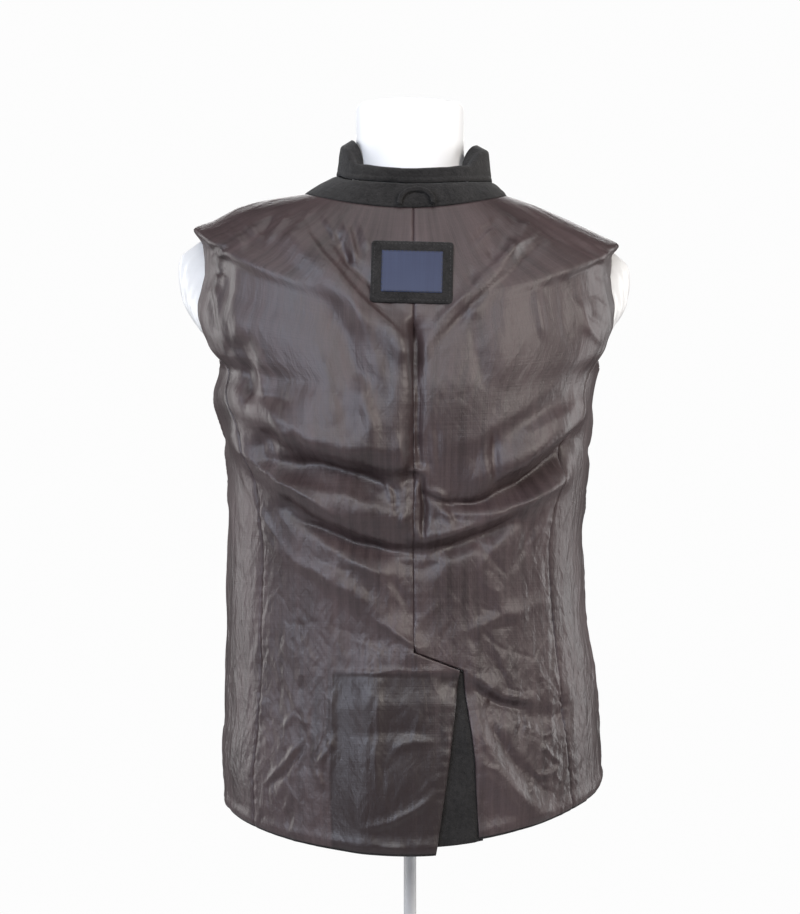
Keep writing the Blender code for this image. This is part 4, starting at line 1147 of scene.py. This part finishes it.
stand_for(make_loop(), "hanger_loop")


# The patch of wool below the neck, stitched round its edge, and the woven label on it, which is left bare.
PATCH_WIDTH, PATCH_HEIGHT, PATCH_THICKNESS = 82.0, 63.0, 1.5
PATCH_X, PATCH_Z, PATCH_TILT_DEG, PATCH_LIFT = 1.5, 1314.5, -1.5, 0.9
LABEL_WIDTH, LABEL_HEIGHT, LABEL_THICKNESS = 61.0, 42.0, 0.7
PATCH_CORNER, PATCH_EDGE, PATCH_BULGE = 4.0, 5.0, 0.5
LABEL_CORNER, LABEL_EDGE, LABEL_BULGE = 0.8, 2.0, 0.2
LABEL_LIFT = PATCH_LIFT + PATCH_THICKNESS + PATCH_BULGE


def back_point_at(x, z, lift):
    """A point on the back, found from its place across and its height."""
    run = np.clip(RINGS[0, 7] - z, 0, BACK_LENGTH)
    for _ in range(6):
        degrees = degrees_at(x, run)
        run = run + (plain_ring_point(degrees, run)[..., 2] - z)
    height = fold_height(plain_ring_point(degrees, run)[..., 0], z, BACK_FOLDS) + lift
    return plain_ring_point(degrees, run) + outward(degrees, run) * height[..., None]


def patch_place(u, v):
    sine, cosine = math.sin(math.radians(PATCH_TILT_DEG)), math.cos(math.radians(PATCH_TILT_DEG))
    return PATCH_X + u * cosine - v * sine, PATCH_Z + u * sine + v * cosine


def sewn_rectangle(name, width, height, corner, under, thickness, edge, bulge, materials, columns, rows):
    """A flat piece sewn on the back, with round corners, pillowed a little inside its turned edge."""
    u = np.linspace(-1, 1, columns + 1)[None, :] + np.zeros((rows + 1, 1))
    v = np.linspace(1, -1, rows + 1)[:, None] + np.zeros((1, columns + 1))
    across, up = u * width / 2, v * height / 2
    over_u = np.maximum(np.abs(across) - (width / 2 - corner), 0)
    over_v = np.maximum(np.abs(up) - (height / 2 - corner), 0)
    pull = np.maximum(over_u, over_v) / np.maximum(np.hypot(over_u, over_v), 1e-9)
    pull = np.where((over_u > 0) & (over_v > 0), pull, 1.0)
    across = np.sign(across) * (np.abs(across) - over_u + over_u * pull)
    up = np.sign(up) * (np.abs(up) - over_v + over_v * pull)
    rim = np.minimum(width / 2 - np.abs(across), height / 2 - np.abs(up))
    x, z = patch_place(across, up)
    pillow = bulge * smooth_step(rim / edge) - 0.5 * thickness * np.exp(-((rim / 0.7) ** 2))
    outer = back_point_at(x, z, under + thickness + pillow)
    inner = back_point_at(x, z, under)
    return wall_mesh(name, outer, inner, np.stack([across, up], -1), materials)


LABEL_BLUE = cloth_material(
    "woven_blue", SATIN_THREADS, "UV", (0.022, 0.030, 0.070), (0.040, 0.052, 0.105), (0.5, 0.62),
    (0.6, 0.0003), {"Crinkle": 0.2}, Specular_IOR_Level=0.4,
)
label_patch = sewn_rectangle(
    "patch_wool", PATCH_WIDTH, PATCH_HEIGHT, PATCH_CORNER, PATCH_LIFT, PATCH_THICKNESS, PATCH_EDGE,
    PATCH_BULGE, (WOOL,), columns=110, rows=84,
)
finish_cloth(
    label_patch, "label_patch",
)
woven_label = sewn_rectangle(
    "label_blue", LABEL_WIDTH, LABEL_HEIGHT, LABEL_CORNER, LABEL_LIFT, LABEL_THICKNESS, LABEL_EDGE,
    LABEL_BULGE, (LABEL_BLUE,), columns=80, rows=56,
)
finish_cloth(
    woven_label, "woven_label",
)


# Stitches: short threads round the patch and the label, a little proud of the cloth.
STITCH_LENGTH, STITCH_GAP, STITCH_WIDTH, STITCH_RISE = 2.6, 1.2, 0.55, 0.35
PATCH_INSET, LABEL_INSET = 3.0, 0.9
THREAD = cloth_material(
    "dark_thread", WOOL_NAP, "Object", (0.03, 0.028, 0.028), (0.05, 0.047, 0.046), (0.5, 0.6), (0.2, 0.0002),
)


def stitch_rectangle(name, width, height, inset, lift):
    """Stitches along a rectangle inside the edges of a sewn piece, joined in one mesh."""
    points, faces = [], []
    half_width, half_height = width / 2 - inset, height / 2 - inset
    corners = [(side * half_width, up * half_height) for side, up in ((-1, 1), (1, 1), (1, -1), (-1, -1))]
    for start, end in zip(corners, corners[1:] + corners[:1]):
        start, end = np.array(start), np.array(end)
        length = np.linalg.norm(end - start)
        along = (end - start) / length
        across = np.array([-along[1], along[0]])
        for place in np.arange(STITCH_GAP, length - STITCH_LENGTH, STITCH_LENGTH + STITCH_GAP):
            spine = start + along * (place + STITCH_LENGTH * np.array([0, 0.2, 0.8, 1.0])[:, None])
            rise = STITCH_RISE * np.array([-0.8, 1.0, 1.0, -0.8])
            first = len(points)
            for centre, proud in zip(spine, rise):
                for side, drop in ((-1, -0.35), (0, 0.0), (1, -0.35)):
                    u, v = centre + across * side * STITCH_WIDTH / 2
                    x, z = patch_place(u, v)
                    points.append((x, z, lift + proud + drop))
            for row in range(3):
                for column in range(2):
                    a = first + row * 3 + column
                    faces.append((a, a + 1, a + 4, a + 3))
    points = np.array(points)
    placed = back_point_at(points[:, 0], points[:, 1], points[:, 2])
    mesh = bpy.data.meshes.new(name)
    mesh.from_pydata((placed * MM).tolist(), [], faces)
    mesh.materials.append(THREAD)
    mesh.shade_smooth()
    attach(linked(name, mesh), "root")


stitch_rectangle("patch_stitches", PATCH_WIDTH, PATCH_HEIGHT, PATCH_INSET, PATCH_LIFT + PATCH_THICKNESS + 0.2)
stitch_rectangle("label_stitches", LABEL_WIDTH, LABEL_HEIGHT, LABEL_INSET, LABEL_LIFT + LABEL_THICKNESS + 0.1)


# The sleeves, white satin inside, pushed into the coat. Their heads bulge out of the armholes in pleats, and
# the rest of each is a flattened tube that hangs beside the form.
SLEEVE_WALL, SLEEVE_DEPTH, SLEEVE_BORDER_DEG = 1.8, 5.2, 7.0
SLEEVE_HEAD_ROWS, SLEEVE_HEAD_COLUMNS, SLEEVE_WAY_ROUND = 88, 90, 3.0
SLEEVE_HEADS = np.array([
    # run, and how far out the left and the right head reach
    (98, 211, 206), (103, 213, 207.5), (108, 229, 219), (113, 241, 228), (119, 244, 231),
    (125, 243.5, 231), (134, 240, 229), (144, 233, 223), (155, 220, 211), (167, 202, 195),
    (180, 183, 180), (190, 177, 174), (197, 175, 172),
], float)
WHITE_SATIN = cloth_material(
    "white_satin", SATIN_THREADS, "UV", (0.70, 0.695, 0.69), (0.80, 0.795, 0.79), (0.36, 0.5), (1.0, 0.0016),
    Specular_IOR_Level=0.5,
)


def make_sleeve_head(name, side):
    runs = np.linspace(SLEEVE_HEADS[0, 0], SLEEVE_HEADS[-1, 0], SLEEVE_HEAD_ROWS)[:, None]
    opening = 90.0 - back_edge(np.maximum(runs, 99.0))
    offset = np.linspace(-1, 1, SLEEVE_HEAD_COLUMNS)[None, :] * (opening + SLEEVE_BORDER_DEG)
    degrees = (90.0 + offset) * side
    runs = runs + 0 * degrees
    under = plain_ring_point(degrees, runs) - outward(degrees, runs) * SLEEVE_DEPTH
    column = SLEEVE_HEADS[:, 1 if side < 0 else 2]
    reach = smooth_column(runs, SLEEVE_HEADS[:, 0], column)
    reach = reach - (ring_value("left" if side < 0 else "right", runs) - SLEEVE_DEPTH)
    round_over = np.clip(1 - (offset / np.maximum(opening - 2.5, 2.5)) ** 2, 0, 1)
    reach = np.where(reach > 0, reach * round_over ** 0.8, reach)
    free = smooth_step(round_over / 0.5)
    pleats = 2.6 * cloth_noise(offset / 4.2, runs / 34, 71 + side) + cloth_noise(offset / 1.8, runs / 12, 73)
    reach = reach + free * (pleats - 1.2)
    grid = under + side * np.array([1.0, 0, 0]) * reach[..., None]
    flat = np.stack([offset * SLEEVE_WAY_ROUND, -runs], -1)
    if side < 0:
        grid, flat = grid[:, ::-1], flat[:, ::-1]
    return sheet_wall(name, grid, flat, SLEEVE_WALL, (WHITE_SATIN,))


for side_name, side in (("left", -1), ("right", 1)):
    head = make_sleeve_head(f"sleeve_head_{side_name}_satin", side)
    finish_cloth(
        head, f"sleeve_head_{side_name}",
    )


SEAM_MERGE, QUAD_ANGLE, SMOOTH_LEVELS = 1e-5, math.radians(60), 2


def refined_copy(node, name, material):
    """A solid's mesh, joined and made smooth by subdivision."""
    mesh = nodes[node].data.copy()
    mesh.name = name
    made = linked(name, mesh)
    bpy.ops.object.select_all(action="DESELECT")
    made.select_set(True)
    bpy.context.view_layer.objects.active = made
    bpy.ops.object.mode_set(mode="EDIT")
    bpy.ops.mesh.select_all(action="SELECT")
    bpy.ops.mesh.remove_doubles(threshold=SEAM_MERGE)
    bpy.ops.mesh.tris_convert_to_quads(face_threshold=QUAD_ANGLE, shape_threshold=QUAD_ANGLE)
    bpy.ops.object.mode_set(mode="OBJECT")
    mesh.materials.clear()
    mesh.materials.append(material)
    smooth = made.modifiers.new("smooth", "SUBSURF")
    smooth.levels = smooth.render_levels = SMOOTH_LEVELS
    bpy.ops.object.modifier_apply(modifier=smooth.name)
    made.data.shade_smooth()
    return made


SLEEVE_TUBE_SATIN = cloth_material(
    "white_satin_inside", WOOL_NAP, "Object", (0.76, 0.755, 0.75), (0.86, 0.855, 0.85), (0.36, 0.5),
    (0.1, 0.0003), Specular_IOR_Level=0.5,
)
for side_name in ("left", "right"):
    tube = refined_copy(f"sleeve_{side_name}", f"sleeve_{side_name}_satin", SLEEVE_TUBE_SATIN)
    finish_cloth(
        tube, f"sleeve_{side_name}",
    )


# The dress form: a smooth white moulded torso with a flat-topped neck.
def uneven_material(name, stretch, scale, dark, light, roughness):
    """A material whose colour, and roughness where it has two values, drift a little with one noise."""
    material, tree, shader = new_material(name)
    place = add_node(tree, "TexCoord", {})["Object"]
    clouds = scaled_noise(tree, place, stretch, scale)
    tree.links.new(mix_colours(tree, clouds, dark, light), shader.inputs["Base Color"])
    if isinstance(roughness, tuple):
        tree.links.new(map_range(tree, clouds, *roughness), shader.inputs["Roughness"])
    else:
        shader.inputs["Roughness"].default_value = roughness
    return material, tree, shader, place


FORM_WHITE, form_tree, _, form_place = uneven_material(
    "white_moulded", (1, 1, 1), 9.0, (0.84, 0.84, 0.845), (0.9, 0.9, 0.9), (0.42, 0.58),
)
add_relief(form_tree, scaled_noise(form_tree, form_place, (1, 1, 1), 420.0, 2.0), 0.12, 0.0004)
stand_for(refined_copy("form_torso", "form_torso_smooth", FORM_WHITE), "form_torso")


# The stand: a chromed base, rod and socket, polished, with faint turning marks.
CHROME, _, chrome_shader, _ = uneven_material(
    "bright_chrome", (1, 1, 40), 30.0, (0.87, 0.87, 0.88), (0.95, 0.95, 0.96), (0.16, 0.28),
)
chrome_shader.inputs["Metallic"].default_value = 0.35
for node in ("stand_base", "stand_rod", "form_socket"):
    nodes[node].data.materials.clear()
    nodes[node].data.materials.append(CHROME)


# The studio: a pale round floor that ends below the picture, a white surround that only the camera sees in
# full, soft boxes on every side, and the camera level with the coat's middle, as the picture was taken.
FLOOR_RADIUS, FLOOR_SIDES = 2.3, 96


def make_floor():
    """A round sheet of pale paper, level with the stand's foot."""
    bpy.ops.mesh.primitive_circle_add(
        vertices=FLOOR_SIDES, radius=FLOOR_RADIUS, fill_type="NGON", location=(0, 0, 0),
    )
    made = bpy.context.object
    made.name = "studio_floor"
    paper, *_ = uneven_material(
        "pale_paper", (1, 1, 1), 3.0, (0.42, 0.42, 0.425), (0.47, 0.47, 0.475), 0.9,
    )
    made.data.materials.append(paper)


make_floor()

SOFT_BOXES = (
    # name, place, size, power, colour
    ("box_left", (-1.7, -2.0, 2.0), (1.2, 0.9), 30, (0.76, 0.84, 1.0)),
    ("box_right", (1.6, -1.9, 2.1), (1.1, 0.9), 33, (1.0, 0.94, 0.88)),
    ("box_front", (-0.3, -2.8, 2.7), (1.6, 1.0), 36, (0.96, 0.97, 1.0)),
    ("box_top", (0.0, -0.5, 3.0), (1.8, 1.0), 10, (1.0, 1.0, 1.0)),
    ("box_side_left", (-2.4, 0.5, 1.5), (1.2, 2.0), 40, (1.0, 1.0, 1.0)),
    ("box_side_right", (2.4, 0.5, 1.5), (1.2, 2.0), 40, (1.0, 1.0, 1.0)),
    ("box_behind", (0.0, 2.9, 2.4), (2.0, 1.2), 44, (1.0, 1.0, 1.0)),
    ("box_rod_left", (-1.3, -1.5, 0.72), (1.2, 0.22), 1.0, (1.0, 1.0, 1.0)),
    ("box_rod_right", (1.3, -1.5, 0.72), (1.2, 0.22), 1.0, (1.0, 1.0, 1.0)),
    ("box_low", (-1.4, -2.2, 1.0), (0.9, 0.5), 5, (0.78, 0.85, 1.0)),
)
TARGET = Vector((0.0, 0.0, 1.15))

for name, place, size, power, colour in SOFT_BOXES:
    light = bpy.data.lights.new(name, "AREA")
    light.shape = "RECTANGLE"
    light.size, light.size_y = size
    light.energy = power
    light.color = colour
    box = linked(name, light)
    box.location = place
    box.rotation_euler = (TARGET - Vector(place)).to_track_quat("-Z", "Y").to_euler()

SURROUND_SEEN, SURROUND_LIGHT = 0.98, 0.06
world = bpy.data.worlds.new("studio_air")
bpy.context.scene.world = world
world.use_nodes = True
air = world.node_tree
background = air.nodes["Background"]
background.inputs["Color"].default_value = (1.0, 1.0, 1.0, 1.0)
seen = add_node(air, "LightPath", {})["Is Camera Ray"]
strength = map_range(air, seen, SURROUND_LIGHT, SURROUND_SEEN)
air.links.new(strength, background.inputs["Strength"])

CAMERA_X, CAMERA_DISTANCE, CAMERA_HEIGHT = -10.5, 2400.0, 1130.0
CAMERA_LENS, CAMERA_SENSOR = 90.0, 36.0
camera_data = bpy.data.cameras.new("camera")
camera_data.lens = CAMERA_LENS
camera_data.sensor_width = CAMERA_SENSOR
camera = linked("camera", camera_data)
camera.location = (CAMERA_X * MM, -CAMERA_DISTANCE * MM, CAMERA_HEIGHT * MM)
camera.rotation_euler = (math.pi / 2, 0.0, 0.0)
bpy.context.scene.camera = camera

bpy.context.scene.view_settings.view_transform = "Standard"
